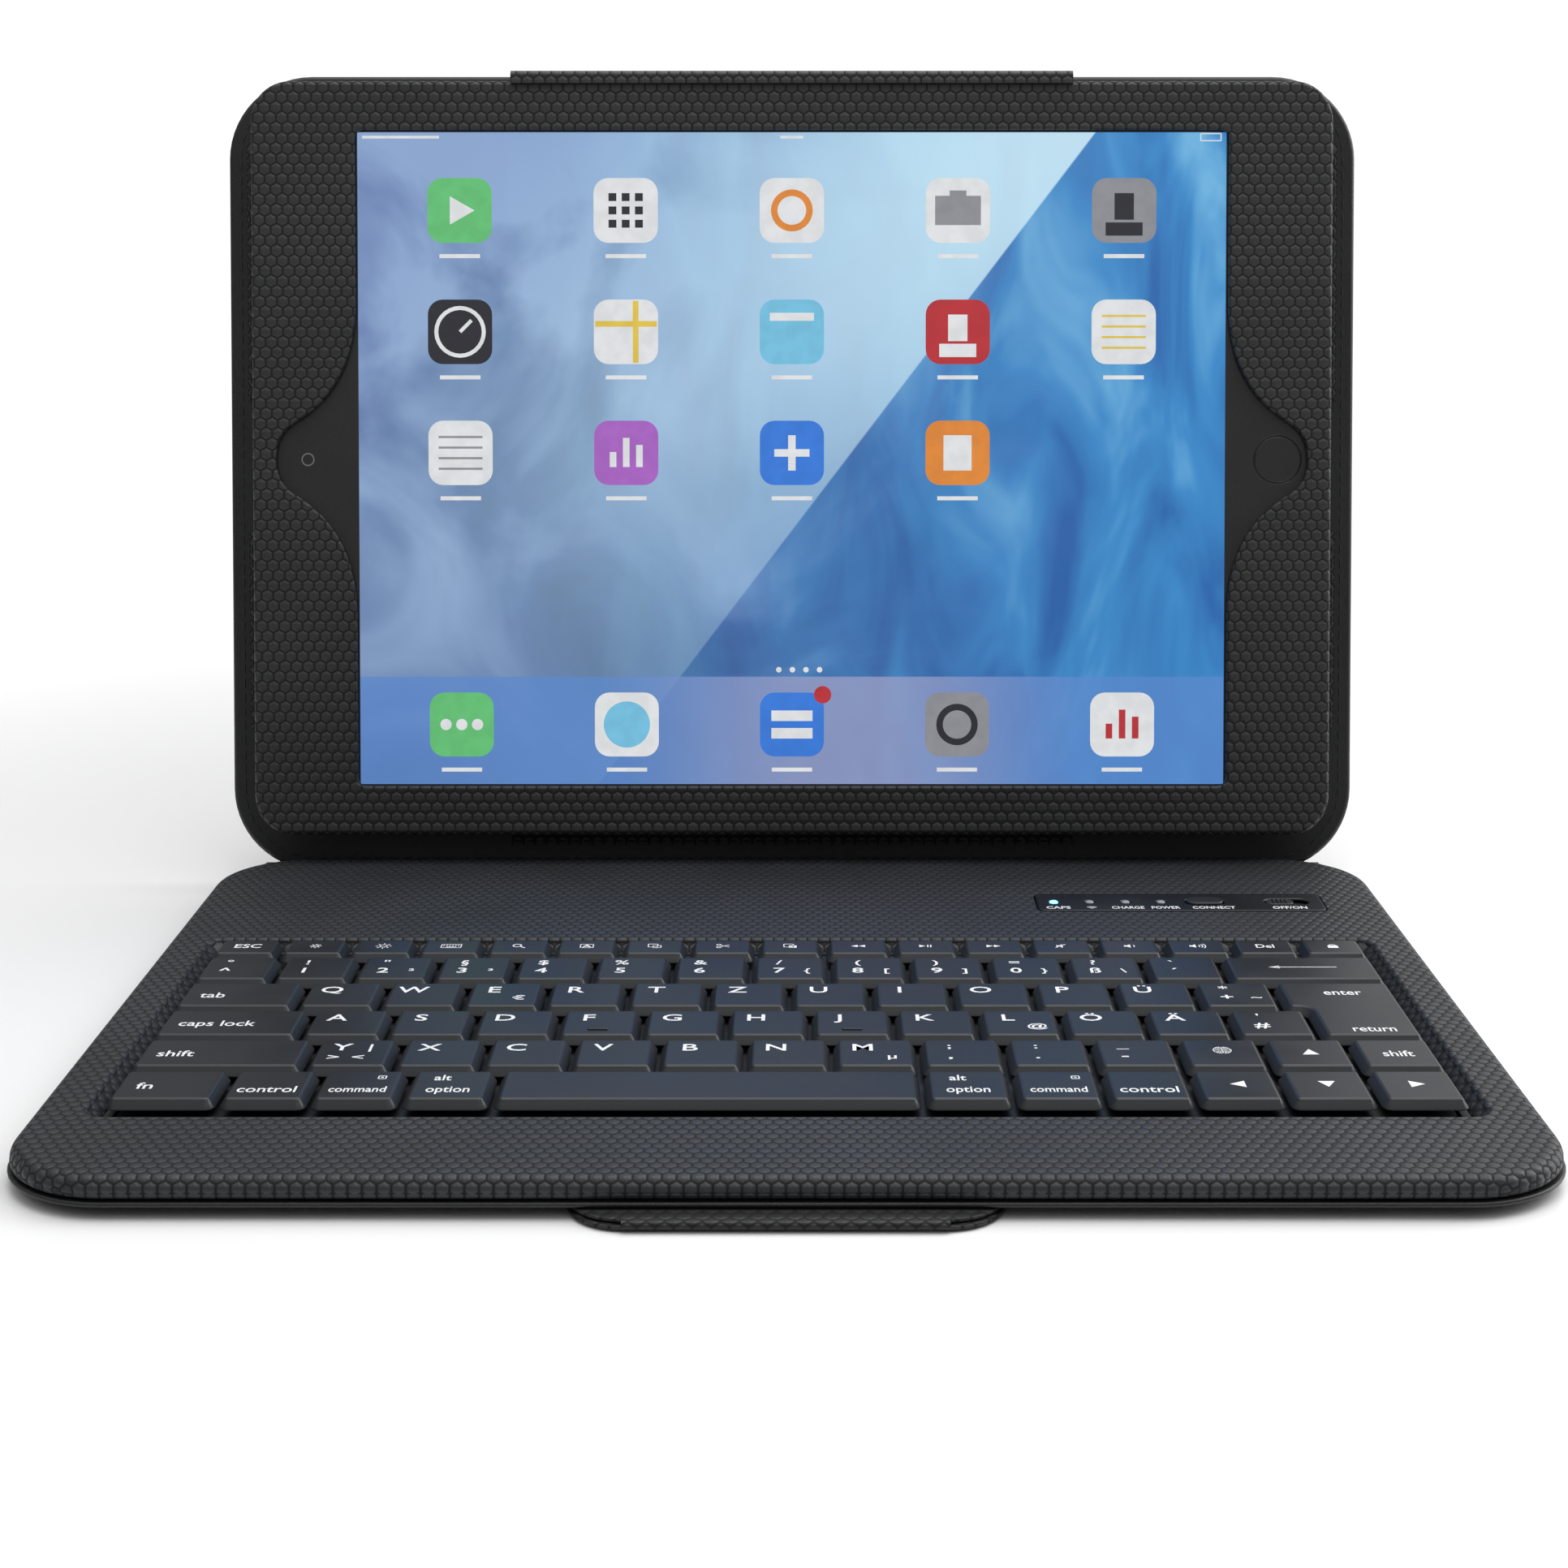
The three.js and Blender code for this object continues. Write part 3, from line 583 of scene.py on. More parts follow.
add_camera()
add_floor()
add_world()
add_area_light("overhead", (0.15, 0.05, 1.5), (0, 0, 0), (1.6, 1.2), 12)
add_area_light("right_window", (1.0, 0.25, 0.55), (0.05, -0.05, 0.02), (0.5, 0.9), 6)
bpy.context.scene.view_settings.view_transform = "Standard"

# ------------------------------------------------------------------ keyboard half

WINDOW_X = 117.75
WINDOW_FRONT = -154.5
WINDOW_REAR = -62.8
WINDOW_LIP = 1.9
BASE_CORNER = 19.5
EDGE_STEPS = 14
STATUS_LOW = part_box("status_panel")[0]
STATUS_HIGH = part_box("status_panel")[1]
STATUS = (STATUS_LOW.x / MM, STATUS_LOW.y / MM - REAR_EDGE,
          STATUS_HIGH.x / MM, STATUS_HIGH.y / MM - REAR_EDGE)
STATUS_TOP = STATUS_HIGH.z / MM
STATUS_MIDDLE = (STATUS[1] + STATUS[3]) / 2
STATUS_GAP = 0.3
STATUS_DEPTH = 0.92


def make_surround():
    shape = Shape()
    Shape.up = Vector((0, 0, 1))
    low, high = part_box("keyboard_surround")[0].z / MM, BASE_TOP

    outer = box_contour(-BASE_HALF, -BASE_DEPTH, BASE_HALF, 0, BASE_CORNER, EDGE_STEPS)
    window = box_contour(-WINDOW_X, WINDOW_FRONT, WINDOW_X, WINDOW_REAR, 1.6, 5)
    recess = box_contour(*STATUS, 2.0, 5)

    def wall(contour, profile, outward):
        loops = []
        for offset, height, skin in profile:
            points = [base_point(p.x, p.y, height) for p in contour(offset)]
            loops.append(shape.add_loop(points, [tuple(p) for p in contour(skin)]))
        for upper, lower in zip(loops, loops[1:]):
            pair = (lower, upper) if outward else (upper, lower)
            shape.bridge(*pair)
        return loops

    profile = [(offset, high - drop, skin) for offset, drop, skin in edge_profile(2.6, 8)]
    profile += [(0, high - 2.9, 0.3), (-0.1, low + 0.55, 0.7), (-0.35, low + 0.2, 1.1), (-0.8, low, 1.6)]
    outside = wall(outer, profile, True)
    profile = [(-offset, high - drop, -skin) for offset, drop, skin in edge_profile(1.1, 5)]
    profile += [(-1.5, high - 2.2, -2.0), (-1.7, low + 0.4, -3.4), (-1.7, low, -3.8)]
    inside = wall(lambda offset: window(offset + WINDOW_LIP), profile, False)
    profile = [(-offset, high - drop, -skin) for offset, drop, skin in edge_profile(0.35, 3)]
    profile += [(0, high - STATUS_DEPTH, -0.85)]
    pocket = wall(lambda offset: recess(offset + STATUS_GAP), profile, False)
    shape.fill([outside[0], inside[0], pocket[0]], True)
    shape.fill([outside[-1], inside[-1]], False)
    shape.fill([pocket[-1]], True)
    shape.make("surround_skin", "keyboard_half", "faux_leather", HEX_BASE, "keyboard_surround", sharp=50)


def make_bottom_panel():
    shape = Shape()
    low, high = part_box("bottom_panel")[0].z / MM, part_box("bottom_panel")[1].z / MM
    margin = PANEL_HALF - BASE_HALF
    outer = box_contour(-PANEL_HALF, -BASE_DEPTH - margin, PANEL_HALF, margin, BASE_CORNER + margin,
                        EDGE_STEPS)
    slab(shape, outer, base_place, low, high, 0.42, 0.42)
    shape.make("bottom_cover", "keyboard_half", "smooth_cover", COVER, "bottom_panel")


make_surround()
make_bottom_panel()

# ------------------------------------------------------------------ key caps and their legends

KEY_UNIT = 15.65
KEY_GAP = 0.75
KEYS_LEFT = -7.5 * KEY_UNIT
FUNCTION_DEPTH = 11
FUNCTION_FRONT = WINDOW_REAR - 1.2 - FUNCTION_DEPTH
CAP_CORNER = 1.7
INK_RAISE = 0.012
INK_THICK = 0.02


def add_cap(shape, corners):
    """One cap on a polygon outline: a skirt, sloping sides and a flat top with a soft edge."""
    height = KEY_TOP - KEY_BOTTOM
    profile = [(-0.35, 0), (0, 0.12), (-0.03, 0.35), (-0.8, height - 0.62), (-0.92, height - 0.38),
               (-1.08, height - 0.17), (-1.3, height - 0.05), (-1.6, height)]
    loops = []
    for offset, rise in profile:
        points = polygon_outline(corners, [CAP_CORNER] * len(corners), offset, 4)
        placed = [base_point(p.x, p.y, KEY_BOTTOM + rise) for p in points]
        loops.append(shape.add_loop(placed, [tuple(p) for p in points]))
    for lower, upper in zip(loops, loops[1:]):
        shape.bridge(lower, upper)
    Shape.up = Vector((0, 0, 1))
    shape.fill([loops[0]], False)
    shape.fill([loops[-1]], True)


def rectangle(left, front, right, rear):
    return [(left, front), (right, front), (right, rear), (left, rear)]


class Ink:
    """Printed marks on one plane: thin closed prisms, placed by a function of (x, y, height)."""

    def __init__(self, place):
        self.place = place
        self.shape = Shape()

    def polygon(self, points):
        area = sum(a[0] * b[1] - b[0] * a[1] for a, b in zip(points, list(points[1:]) + [points[0]]))
        points = list(points) if area > 0 else list(points)[::-1]
        low = self.shape.add_loop([self.place(x, y, INK_RAISE) for x, y in points])
        high = self.shape.add_loop([self.place(x, y, INK_RAISE + INK_THICK) for x, y in points])
        self.shape.bridge(low, high)
        Shape.up = self.place(0, 0, 1) - self.place(0, 0, 0)
        self.shape.fill([low], False)
        self.shape.fill([high], True)

    def bar(self, x0, y0, x1, y1, width):
        along = Vector((x1 - x0, y1 - y0)).normalized() * width / 2
        across = Vector((-along.y, along.x))
        start, end = Vector((x0, y0)), Vector((x1, y1))
        self.polygon([tuple(start - across), tuple(end - across), tuple(end + across), tuple(start + across)])

    def box(self, x, y, width, height, line=0.0):
        left, right, front, rear = x - width / 2, x + width / 2, y - height / 2, y + height / 2
        if not line:
            self.polygon(rectangle(left, front, right, rear))
            return
        for ends in ((left, front, right, front), (left, rear, right, rear),
                     (left, front, left, rear), (right, front, right, rear)):
            self.bar(*ends, line)

    def arc(self, x, y, radius, width, start=0.0, end=360.0, squash=1.0, steps=20):
        angles = [math.radians(start + (end - start) * i / steps) for i in range(steps + 1)]
        near, far = radius - width / 2, radius + width / 2
        for a, b in zip(angles, angles[1:]):
            corners = [(near, a), (far, a), (far, b), (near, b)]
            self.polygon([(x + r * squash * math.cos(t), y + r * math.sin(t)) for r, t in corners])

    def disc(self, x, y, radius, steps=20):
        angles = [2 * math.pi * i / steps for i in range(steps)]
        self.polygon([(x + radius * math.cos(a), y + radius * math.sin(a)) for a in angles])

    def text(self, words, x, y, size, width=None, stretch=1.18, align="CENTER"):
        """Words in Blender's own plain typeface, size the letter height including its margins."""
        curve = bpy.data.curves.new("words", "FONT")
        curve.body = words
        curve.size = size
        curve.align_x = "CENTER"
        curve.resolution_u = 3
        curve.extrude = INK_THICK / 2
        curve.offset = 0.06 if size > 4 else 0.04
        holder = bpy.data.objects.new("words", curve)
        bpy.context.scene.collection.objects.link(holder)
        bpy.context.view_layer.update()
        mesh = bpy.data.meshes.new_from_object(holder.evaluated_get(bpy.context.evaluated_depsgraph_get()))
        points = [v.co.copy() for v in mesh.vertices]
        middle = size * 0.35
        if points:
            span = max(p.x for p in points) - min(p.x for p in points)
            scale = width / span if width else stretch
            shift = {"CENTER": 0, "LEFT": -min(p.x for p in points) * scale}[align]
            placed = [self.place(x + shift + p.x * scale, y + p.y - middle, INK_RAISE + INK_THICK / 2 + p.z)
                      for p in points]
            first = self.shape.add_loop(placed)[0]
            for face in mesh.polygons:
                self.shape.faces.append(tuple(first + i for i in face.vertices))
        bpy.data.objects.remove(holder)
        bpy.data.curves.remove(curve)
        bpy.data.meshes.remove(mesh)

    def make(self, name, body, slot, material=LEGEND):
        return self.shape.make(name, body, slot, material, weighted=False, sharp=30)


def key_ink():
    return Ink(lambda x, y, h: base_point(x, y, KEY_TOP + h))


def sun(ink, x, y, radius):
    ink.arc(x, y, radius, 0.24, steps=14)
    for i in range(8):
        a = math.pi * i / 4
        c, s = math.cos(a), math.sin(a)
        ink.bar(x + c * radius * 1.5, y + s * radius * 1.5, x + c * radius * 2.2, y + s * radius * 2.2, 0.24)


def speaker(ink, x, y, waves, crossed=False):
    ink.box(x - 0.75, y, 0.6, 0.8)
    ink.polygon([(x - 0.5, y - 0.4), (x + 0.25, y - 1.05), (x + 0.25, y + 1.05), (x - 0.5, y + 0.4)])
    for i in range(waves):
        ink.arc(x + 0.1, y, 0.95 + 0.6 * i, 0.22, -38, 38, steps=6)
    if crossed:
        ink.bar(x - 1.3, y - 1.1, x + 0.9, y + 1.1, 0.2)


def triangle(ink, x, y, width, height, direction):
    c, s = math.cos(math.radians(direction)), math.sin(math.radians(direction))
    points = [(width / 2, 0), (-width / 2, height / 2), (-width / 2, -height / 2)]
    ink.polygon([(x + px * c - py * s, y + px * s + py * c) for px, py in points])


def keyboard_mark(ink, x, y):
    ink.box(x, y, 4.0, 2.2, 0.2)
    for row in (0.5, -0.1):
        for i in range(6):
            ink.box(x - 1.5 + 0.6 * i, y + row, 0.28, 0.28)
    ink.box(x, y - 0.65, 2.0, 0.28)


def magnifier(ink, x, y):
    ink.arc(x - 0.4, y + 0.3, 0.85, 0.28, steps=14)
    ink.bar(x + 0.2, y - 0.3, x + 1.3, y - 1.2, 0.34)


def pages(ink, x, y, filled):
    ink.box(x - 0.35, y + 0.3, 1.9, 1.9, 0.2)
    ink.box(x + 0.5, y - 0.4, 1.6, 1.4, 0 if filled else 0.2)


def scissors(ink, x, y):
    for side in (-1, 1):
        ink.arc(x - 0.75, y + side * 0.75, 0.42, 0.22, steps=10)
        ink.bar(x - 0.4, y + side * 0.5, x + 1.4, y - side * 0.7, 0.24)


def padlock(ink, x, y):
    ink.box(x, y - 0.45, 2.1, 1.5)
    ink.arc(x, y + 0.3, 0.62, 0.28, 0, 180, steps=8)


def globe(ink, x, y):
    for squash in (1.0, 0.45):
        ink.arc(x, y, 1.6, 0.2, squash=squash, steps=18)
    ink.bar(x, y - 1.6, x, y + 1.6, 0.2)
    for height, half in ((-0.8, 1.38), (0, 1.6), (0.8, 1.38)):
        ink.bar(x - half, y + height, x + half, y + height, 0.2)


def command_mark(ink, x, y):
    ink.box(x, y, 1.3, 1.3, 0.24)
    ink.box(x, y, 0.4, 0.4)


def pause_mark(ink, x, y):
    triangle(ink, x - 0.7, y, 1.3, 1.5, 0)
    ink.box(x + 0.4, y, 0.28, 1.5)
    ink.box(x + 1.0, y, 0.28, 1.5)


def twin_triangles(ink, x, y, direction):
    for step in (-0.75, 0.75):
        triangle(ink, x + step, y, 1.4, 1.5, direction)


FUNCTION_MARKS = [
    lambda ink, x, y: ink.text("ESC", x, y, 3.3, 5.4),
    lambda ink, x, y: sun(ink, x, y, 0.55),
    lambda ink, x, y: sun(ink, x, y, 0.75),
    keyboard_mark,
    magnifier,
    lambda ink, x, y: (ink.box(x, y, 2.6, 2.2, 0.2), ink.text("A", x, y, 2.4)),
    lambda ink, x, y: pages(ink, x, y, False),
    scissors,
    lambda ink, x, y: pages(ink, x, y, True),
    lambda ink, x, y: twin_triangles(ink, x, y, 180),
    pause_mark,
    lambda ink, x, y: twin_triangles(ink, x, y, 0),
    lambda ink, x, y: speaker(ink, x, y, 0, True),
    lambda ink, x, y: speaker(ink, x, y, 1),
    lambda ink, x, y: speaker(ink, x - 0.5, y, 3),
    lambda ink, x, y: ink.text("Del", x, y, 3.1, 3.7),
    padlock,
]

# Each number key: the mark above, the digit, and on some a third mark at the lower right.
NUMBER_MARKS = ["°^", "!1", '"2²', "§3³", "$4", "%5", "&6", "/7{", "(8[", ")9]", "=0}", "?ß\\", "`´"]
UPPER_MARKS = ["Q", "W", "E€", "R", "T", "Z", "U", "I", "O", "P", "Ü"]
HOME_MARKS = ["A", "S", "D", "F", "G", "H", "J", "K", "L@", "Ö", "Ä"]
LOWER_MARKS = ["X", "C", "V", "B", "N", "Mµ"]
FINGER_BUMPS = ("F", "J")

LETTER = 4.7
LEFT_MARK = -2.2

bump_places = []


def letter_mark(ink, x, y, marks):
    ink.text(marks[0], x + LEFT_MARK, y + 2.5, LETTER)
    if len(marks) > 1:
        ink.text(marks[1], x + 3.0, y - 2.0, 3.3)
    if marks[0] in FINGER_BUMPS:
        bump_places.append((x, y - 3.9))


def pair_mark(ink, x, y, above, below, right=""):
    ink.text(above, x + LEFT_MARK, y + 3.2, 3.6)
    ink.text(below, x + LEFT_MARK, y - 1.6, 4.1)
    if right:
        ink.text(right, x + 3.4, y - 1.8, 3.3)


def word_mark(words, inset, width, size=4.0, rise=-0.6):
    return lambda ink, x, y, half: ink.text(words, x - half + inset, y + rise, size, width, align="LEFT")


def centred_word(words, width, size=3.9, rise=-2.2):
    return lambda ink, x, y, half: ink.text(words, x, y + rise, size, width)


def option_word(ink, x, y, half):
    ink.text("option", x, y - 2.2, 3.9, 7.6)
    ink.text("alt", x - 1.6, y + 3.2, 3.6, 3.0)


def command_word(ink, x, y, half):
    ink.text("command", x, y - 2.2, 3.6, 9.9)
    command_mark(ink, x + 3.4, y + 3.3)


def arrow_word(direction):
    return lambda ink, x, y, half: triangle(ink, x, y + 0.2, 2.7, 3.0, direction)


def backspace_word(ink, x, y, half):
    ink.bar(x - 5.2, y + 0.3, x + 6.8, y + 0.3, 0.28)
    triangle(ink, x - 5.6, y + 0.3, 2.2, 1.5, 180)


def caps_row(row_marks, mark):
    return [lambda ink, x, y, half, marks=marks: mark(ink, x, y, marks) for marks in row_marks]


KEY_ROWS = [
    [("number_keys", 1, caps_row(NUMBER_MARKS, lambda ink, x, y, m: pair_mark(ink, x, y, *m))),
     ("backspace_key", 2, [backspace_word])],
    [("tab_key", 1.5, [word_mark("tab", 4.3, 4.8)]),
     ("upper_letter_keys", 1, caps_row(UPPER_MARKS, letter_mark)
      + [lambda ink, x, y, half: pair_mark(ink, x, y, "*", "+", "~")]),
     ("enter_key", 1.5, [])],
    [("caps_lock_key", 1.75, [word_mark("caps lock", 4.1, 14.2)]),
     ("home_letter_keys", 1, caps_row(HOME_MARKS, letter_mark)
      + [lambda ink, x, y, half: pair_mark(ink, x, y, "'", "#")]),
     ("enter_key", 1.25, [])],
    [("shift_left_key", 2, [word_mark("shift", 4.1, 6.6)]),
     ("lower_letter_keys", 1,
      [lambda ink, x, y, half: (ink.text("Y", x - 2.4, y + 2.6, LETTER), ink.text("|", x + 2.8, y + 2.6, 4.0),
                                ink.text(">", x - 3.2, y - 2.4, 3.6), ink.text("<", x + 1.2, y - 2.4, 3.6))]
      + caps_row(LOWER_MARKS, letter_mark)
      + [lambda ink, x, y, half: pair_mark(ink, x, y, ";", ","),
         lambda ink, x, y, half: pair_mark(ink, x, y, ":", "."),
         lambda ink, x, y, half: pair_mark(ink, x, y, "_", "-")]),
     ("globe_key", 1, [lambda ink, x, y, half: globe(ink, x, y + 1.0)]),
     ("up_arrow_key", 1, [arrow_word(90)]),
     ("shift_right_key", 1, [centred_word("shift", 5.6, 3.9, -0.6)])],
    [("fn_key", 1.25, [word_mark("fn", 4.4, 2.9)]),
     ("control_left_key", 1, [centred_word("control", 10.2)]),
     ("command_left_key", 1, [command_word]),
     ("option_left_key", 1, [option_word]),
     ("space_bar", 4.75, [None]),
     ("option_right_key", 1, [option_word]),
     ("command_right_key", 1, [command_word]),
     ("control_right_key", 1, [centred_word("control", 10.2)]),
     ("left_arrow_key", 1, [arrow_word(180)]),
     ("down_arrow_key", 1, [arrow_word(-90)]),
     ("right_arrow_key", 1, [arrow_word(0)])],
]


def make_keys():
    shapes, inks = {}, {}

    def key(body):
        shapes.setdefault(body, Shape())
        inks.setdefault(body, key_ink())
        return shapes[body], inks[body]

    half_gap = KEY_GAP / 2
    pitch = 15 * KEY_UNIT / len(FUNCTION_MARKS)
    for i, mark in enumerate(FUNCTION_MARKS):
        shape, ink = key("function_keys")
        left = KEYS_LEFT + i * pitch
        add_cap(shape, rectangle(left + half_gap, FUNCTION_FRONT + half_gap, left + pitch - half_gap,
                                 FUNCTION_FRONT + FUNCTION_DEPTH - half_gap))
        mark(ink, left + pitch / 2, FUNCTION_FRONT + 5.7)
    enter_corners = []
    for row_index, row in enumerate(KEY_ROWS):
        front = FUNCTION_FRONT - (row_index + 1) * KEY_UNIT
        left = KEYS_LEFT
        for body, units, marks in row:
            shape, ink = key(body)
            width = units * KEY_UNIT
            if body == "enter_key":
                enter_corners.append((left + half_gap, front + half_gap, left + width - half_gap,
                                      front + KEY_UNIT - half_gap))
                left += width
                continue
            for mark in marks:
                add_cap(shape, rectangle(left + half_gap, front + half_gap, left + width - half_gap,
                                         front + KEY_UNIT - half_gap))
                if mark:
                    mark(ink, left + width / 2, front + KEY_UNIT / 2, width / 2)
                left += width
    upper, lower = enter_corners
    shape, ink = key("enter_key")
    add_cap(shape, [(lower[0], lower[1]), (lower[2], lower[1]), (upper[2], upper[3]), (upper[0], upper[3]),
                    (upper[0], upper[1]), (lower[0], upper[1])])
    ink.text("enter", (lower[0] + lower[2]) / 2 - 1.2, upper[1] + 8.4, 4.0, 7.3)
    ink.text("return", (lower[0] + lower[2]) / 2 + 0.6, lower[1] + 4.0, 4.0, 8.0)
    for body, shape in shapes.items():
        shape.make(f"caps_{body}", body, "key_plastic", KEYS, body, sharp=60)
        if inks[body].shape.points:
            inks[body].make(f"legends_{body}", body, "key_plastic")


def make_finger_bumps():
    """The raised bars on F and J."""
    shape = Shape()
    for x, y in bump_places:
        outline = box_contour(x - 1.9, y - 0.32, x + 1.9, y + 0.32, 0.3, 4)
        slab(shape, outline, base_place, KEY_TOP - 0.05, KEY_TOP + 0.3, 0.2, 0.02)
    shape.make("finger_bumps", "home_letter_keys", "key_plastic", KEYS)


make_keys()
make_finger_bumps()

# ------------------------------------------------------------------ status strip


def make_status_strip():
    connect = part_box("connect_button")
    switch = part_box("power_switch")
    connect_x = (connect[0].x + connect[1].x) / 2 / MM
    switch_left, switch_right = switch[0].x / MM, switch[1].x / MM
    leds = {name: (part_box(name)[0].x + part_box(name)[1].x) / 2 / MM
            for name in ("caps_led", "wireless_led", "charge_led", "power_led")}

    def bar_contour(left, right, half, radius, steps):
        return box_contour(left, STATUS_MIDDLE - half, right, STATUS_MIDDLE + half, radius, steps)

    shape = Shape()
    holes = [round_contour(x, STATUS_MIDDLE, 1.15, 20) for x in leds.values()]
    holes.append(bar_contour(connect_x - 4.3, connect_x + 4.3, 2.6, 2.55, 6))
    holes.append(bar_contour(switch_left - 0.3, switch_left + 9.3, 2.2, 2.15, 6))
    low = STATUS_LOW.z / MM
    slab(shape, box_contour(*STATUS, 1.7, 5), base_place, low, STATUS_TOP, 0.25, 0.1, holes, 0.3)
    shape.make("status_strip", "keyboard_half", "status_plastic", STRIP, "status_panel")

    for name, x in leds.items():
        lens = Shape()
        slab(lens, round_contour(x, STATUS_MIDDLE, 0.9, 20), base_place, low, STATUS_TOP + 0.1, 0.35, 0.05)
        glow = LED_BLUE if name == "caps_led" else LED_GREY
        lens.make(f"{name}_lens", "keyboard_half", "led_lens", glow, name)

    button = Shape()
    pad = bar_contour(connect_x - 4, connect_x + 4, 2.3, 2.25, 8)
    slab(button, pad, base_place, low + 0.15, STATUS_TOP + 0.45, 0.4, 0.1)
    button.make("connect_pad", "connect_button", "button_rubber", RUBBER, "connect_button")
    knob = Shape()
    grip = bar_contour(switch_left, switch_right, 1.8, 1.6, 8)
    slab(knob, grip, base_place, low, STATUS_TOP + 0.05, 0.3, 0.1)
    for i in range(4):
        x = switch_left + 1.65 + 0.9 * i
        ridge = bar_contour(x - 0.2, x + 0.2, 1.1, 0.15, 3)
        slab(knob, ridge, base_place, STATUS_TOP, STATUS_TOP + 0.38, 0.12, 0.02)
    knob.make("switch_knob", "power_switch", "button_rubber", RUBBER, "power_switch")

    ink = Ink(lambda x, y, h: base_point(x, y, STATUS_TOP + h))
    label_y = STATUS_MIDDLE - 4.3
    labels = {"CAPS": (leds["caps_led"] + 0.6, 5.2), "CHARGE": (leds["charge_led"], 7.0),
              "POWER": (leds["power_led"] + 0.4, 6.2), "CONNECT": (connect_x + 1.4, 9.2),
              "OFF/ON": (switch_left + 4.5, 7.4)}
    for words, (x, width) in labels.items():
        ink.text(words, x, label_y, 2.5, width)
    for i in range(3):
        ink.arc(leds["wireless_led"], label_y - 0.9, 0.35 + 0.55 * i, 0.22, 45, 135, steps=6)
    ink.make("status_legends", "keyboard_half", "status_plastic")


make_status_strip()

# ------------------------------------------------------------------ lid

LID_TOP = 183.9
LID_BOTTOM = 1.1
LID_CORNER = 19.0
LENS_X, LENS_U = -107.0, 170.0
FRAME_HALF = 122.5
FRAME_LOW, FRAME_HIGH = 9.8, 180.5
FRAME_BACK_N = 8.35
FRAME_N = 9.7
COVER_OUTER_N = -2.2
DISPLAY_U = 95.3
DISPLAY_HALF = (98.95, 74.3)
TABLET = (-120.0, 10.55, 120.0, 180.05)


def make_cover():
    shape = Shape()
    outer = box_contour(-LID_HALF, LID_BOTTOM, LID_HALF, LID_TOP, LID_CORNER, EDGE_STEPS)
    camera_hole = round_contour(LENS_X, LENS_U, 7, 40)
    slab(shape, outer, lid_place, COVER_OUTER_N, 0, 1.08, 1.08, [camera_hole], 0.5)
    shape.make("lid_cover", "lid", "smooth_cover", COVER, "back_panel")


def wave_window():
    """The pocket's window: the display's rectangle, swelling into a wave at each side."""
    half_x, half_u = DISPLAY_HALF
    corner = 2.0
    reach = 18.2

    def corner_arc(x, u, start):
        return [Vector(p) for p in arc_path((x, u), corner, start, start + 90)]

    def wave(side, direction):
        def at(out, along):
            return Vector((side * (half_x + out), DISPLAY_U + direction * along))
        lower = [at(0, -34), at(0.5, -22), at(4.6, -15.5), at(9.8, -11), at(13.8, -7.6), at(reach, -7)]
        upper = [at(reach, 7), at(13.8, 7.6), at(9.8, 11), at(4.6, 15.5), at(0.5, 22), at(0, 34)]
        controls = lower + [at(reach, 0)] + upper
        points = controls[:1]
        for i in range(1, len(controls), 3):
            points += bezier(points[-1], *controls[i:i + 3], 10)
        return points

    return (corner_arc(half_x - corner, DISPLAY_U - half_u + corner, -90) + wave(1, 1)
            + corner_arc(half_x - corner, DISPLAY_U + half_u - corner, 0)
            + corner_arc(-half_x + corner, DISPLAY_U + half_u - corner, 90) + wave(-1, -1)
            + corner_arc(-half_x + corner, DISPLAY_U - half_u + corner, 180))


def make_pocket_frame():
    shape = Shape()
    window = wave_window()
    outer = box_contour(-FRAME_HALF, FRAME_LOW, FRAME_HALF, FRAME_HIGH, 9, 12)
    inner = [lambda offset: moved_outline(window, offset)]
    slab(shape, outer, lid_place, FRAME_BACK_N, FRAME_N, 1.0, 0.2, inner, 0.65)
    shape.make("pocket_front", "lid", "faux_leather", HEX_LID, "pocket_frame", sharp=60)


def strip(shape, path, place, ends, thickness, steps):
    """A sheet along ends[0]..ends[1], with a section path of (a, b) points thickened to one side."""
    path = [Vector(p) for p in path]
    normals = []
    for i, point in enumerate(path):
        along = (path[min(i + 1, len(path) - 1)] - path[max(i - 1, 0)]).normalized()
        normals.append(Vector((-along.y, along.x)))
    ring = path + [p + n * thickness for p, n in zip(reversed(path), reversed(normals))]
    lengths = [0.0]
    for a, b in zip(ring, ring[1:]):
        lengths.append(lengths[-1] + (b - a).length)
    loops = []
    for i in range(steps + 1):
        t = ends[0] + (ends[1] - ends[0]) * i / steps
        loops.append(shape.add_loop([place(t, p) for p in ring], [(t, length) for length in lengths]))
    for a, b in zip(loops, loops[1:]):
        shape.bridge(a, b)
    count = len(path)
    for loop, flip in ((loops[0], True), (loops[-1], False)):
        for i in range(count - 1):
            quad = (loop[i], loop[i + 1], loop[2 * count - 2 - i], loop[2 * count - 1 - i])
            shape.faces.append(quad[::-1] if flip else quad)


def arc_path(centre, radius, start, end, steps=6):
    angles = [math.radians(start + (end - start) * i / steps) for i in range(steps + 1)]
    return [(centre[0] + radius * math.cos(a), centre[1] + radius * math.sin(a)) for a in angles]


def make_side_gusset(side, place_name, low, high):
    shape = Shape()
    wall = ([(122.15, 8.2), (121.95, 6.0), (121.85, 3.6)] + arc_path((123.25, 1.9), 1.4, 180, 262, 5)
            + [(124.4, 0.5), (125.3, 0.5)])
    strip(shape, wall, lambda u, p: lid_point(side * p.x, u, p.y), (low, high), -0.45, 10)
    shape.make_sheet(f"side_gusset_{place_name}", "lid", "faux_leather", HEX_LID, f"gusset_{place_name}")


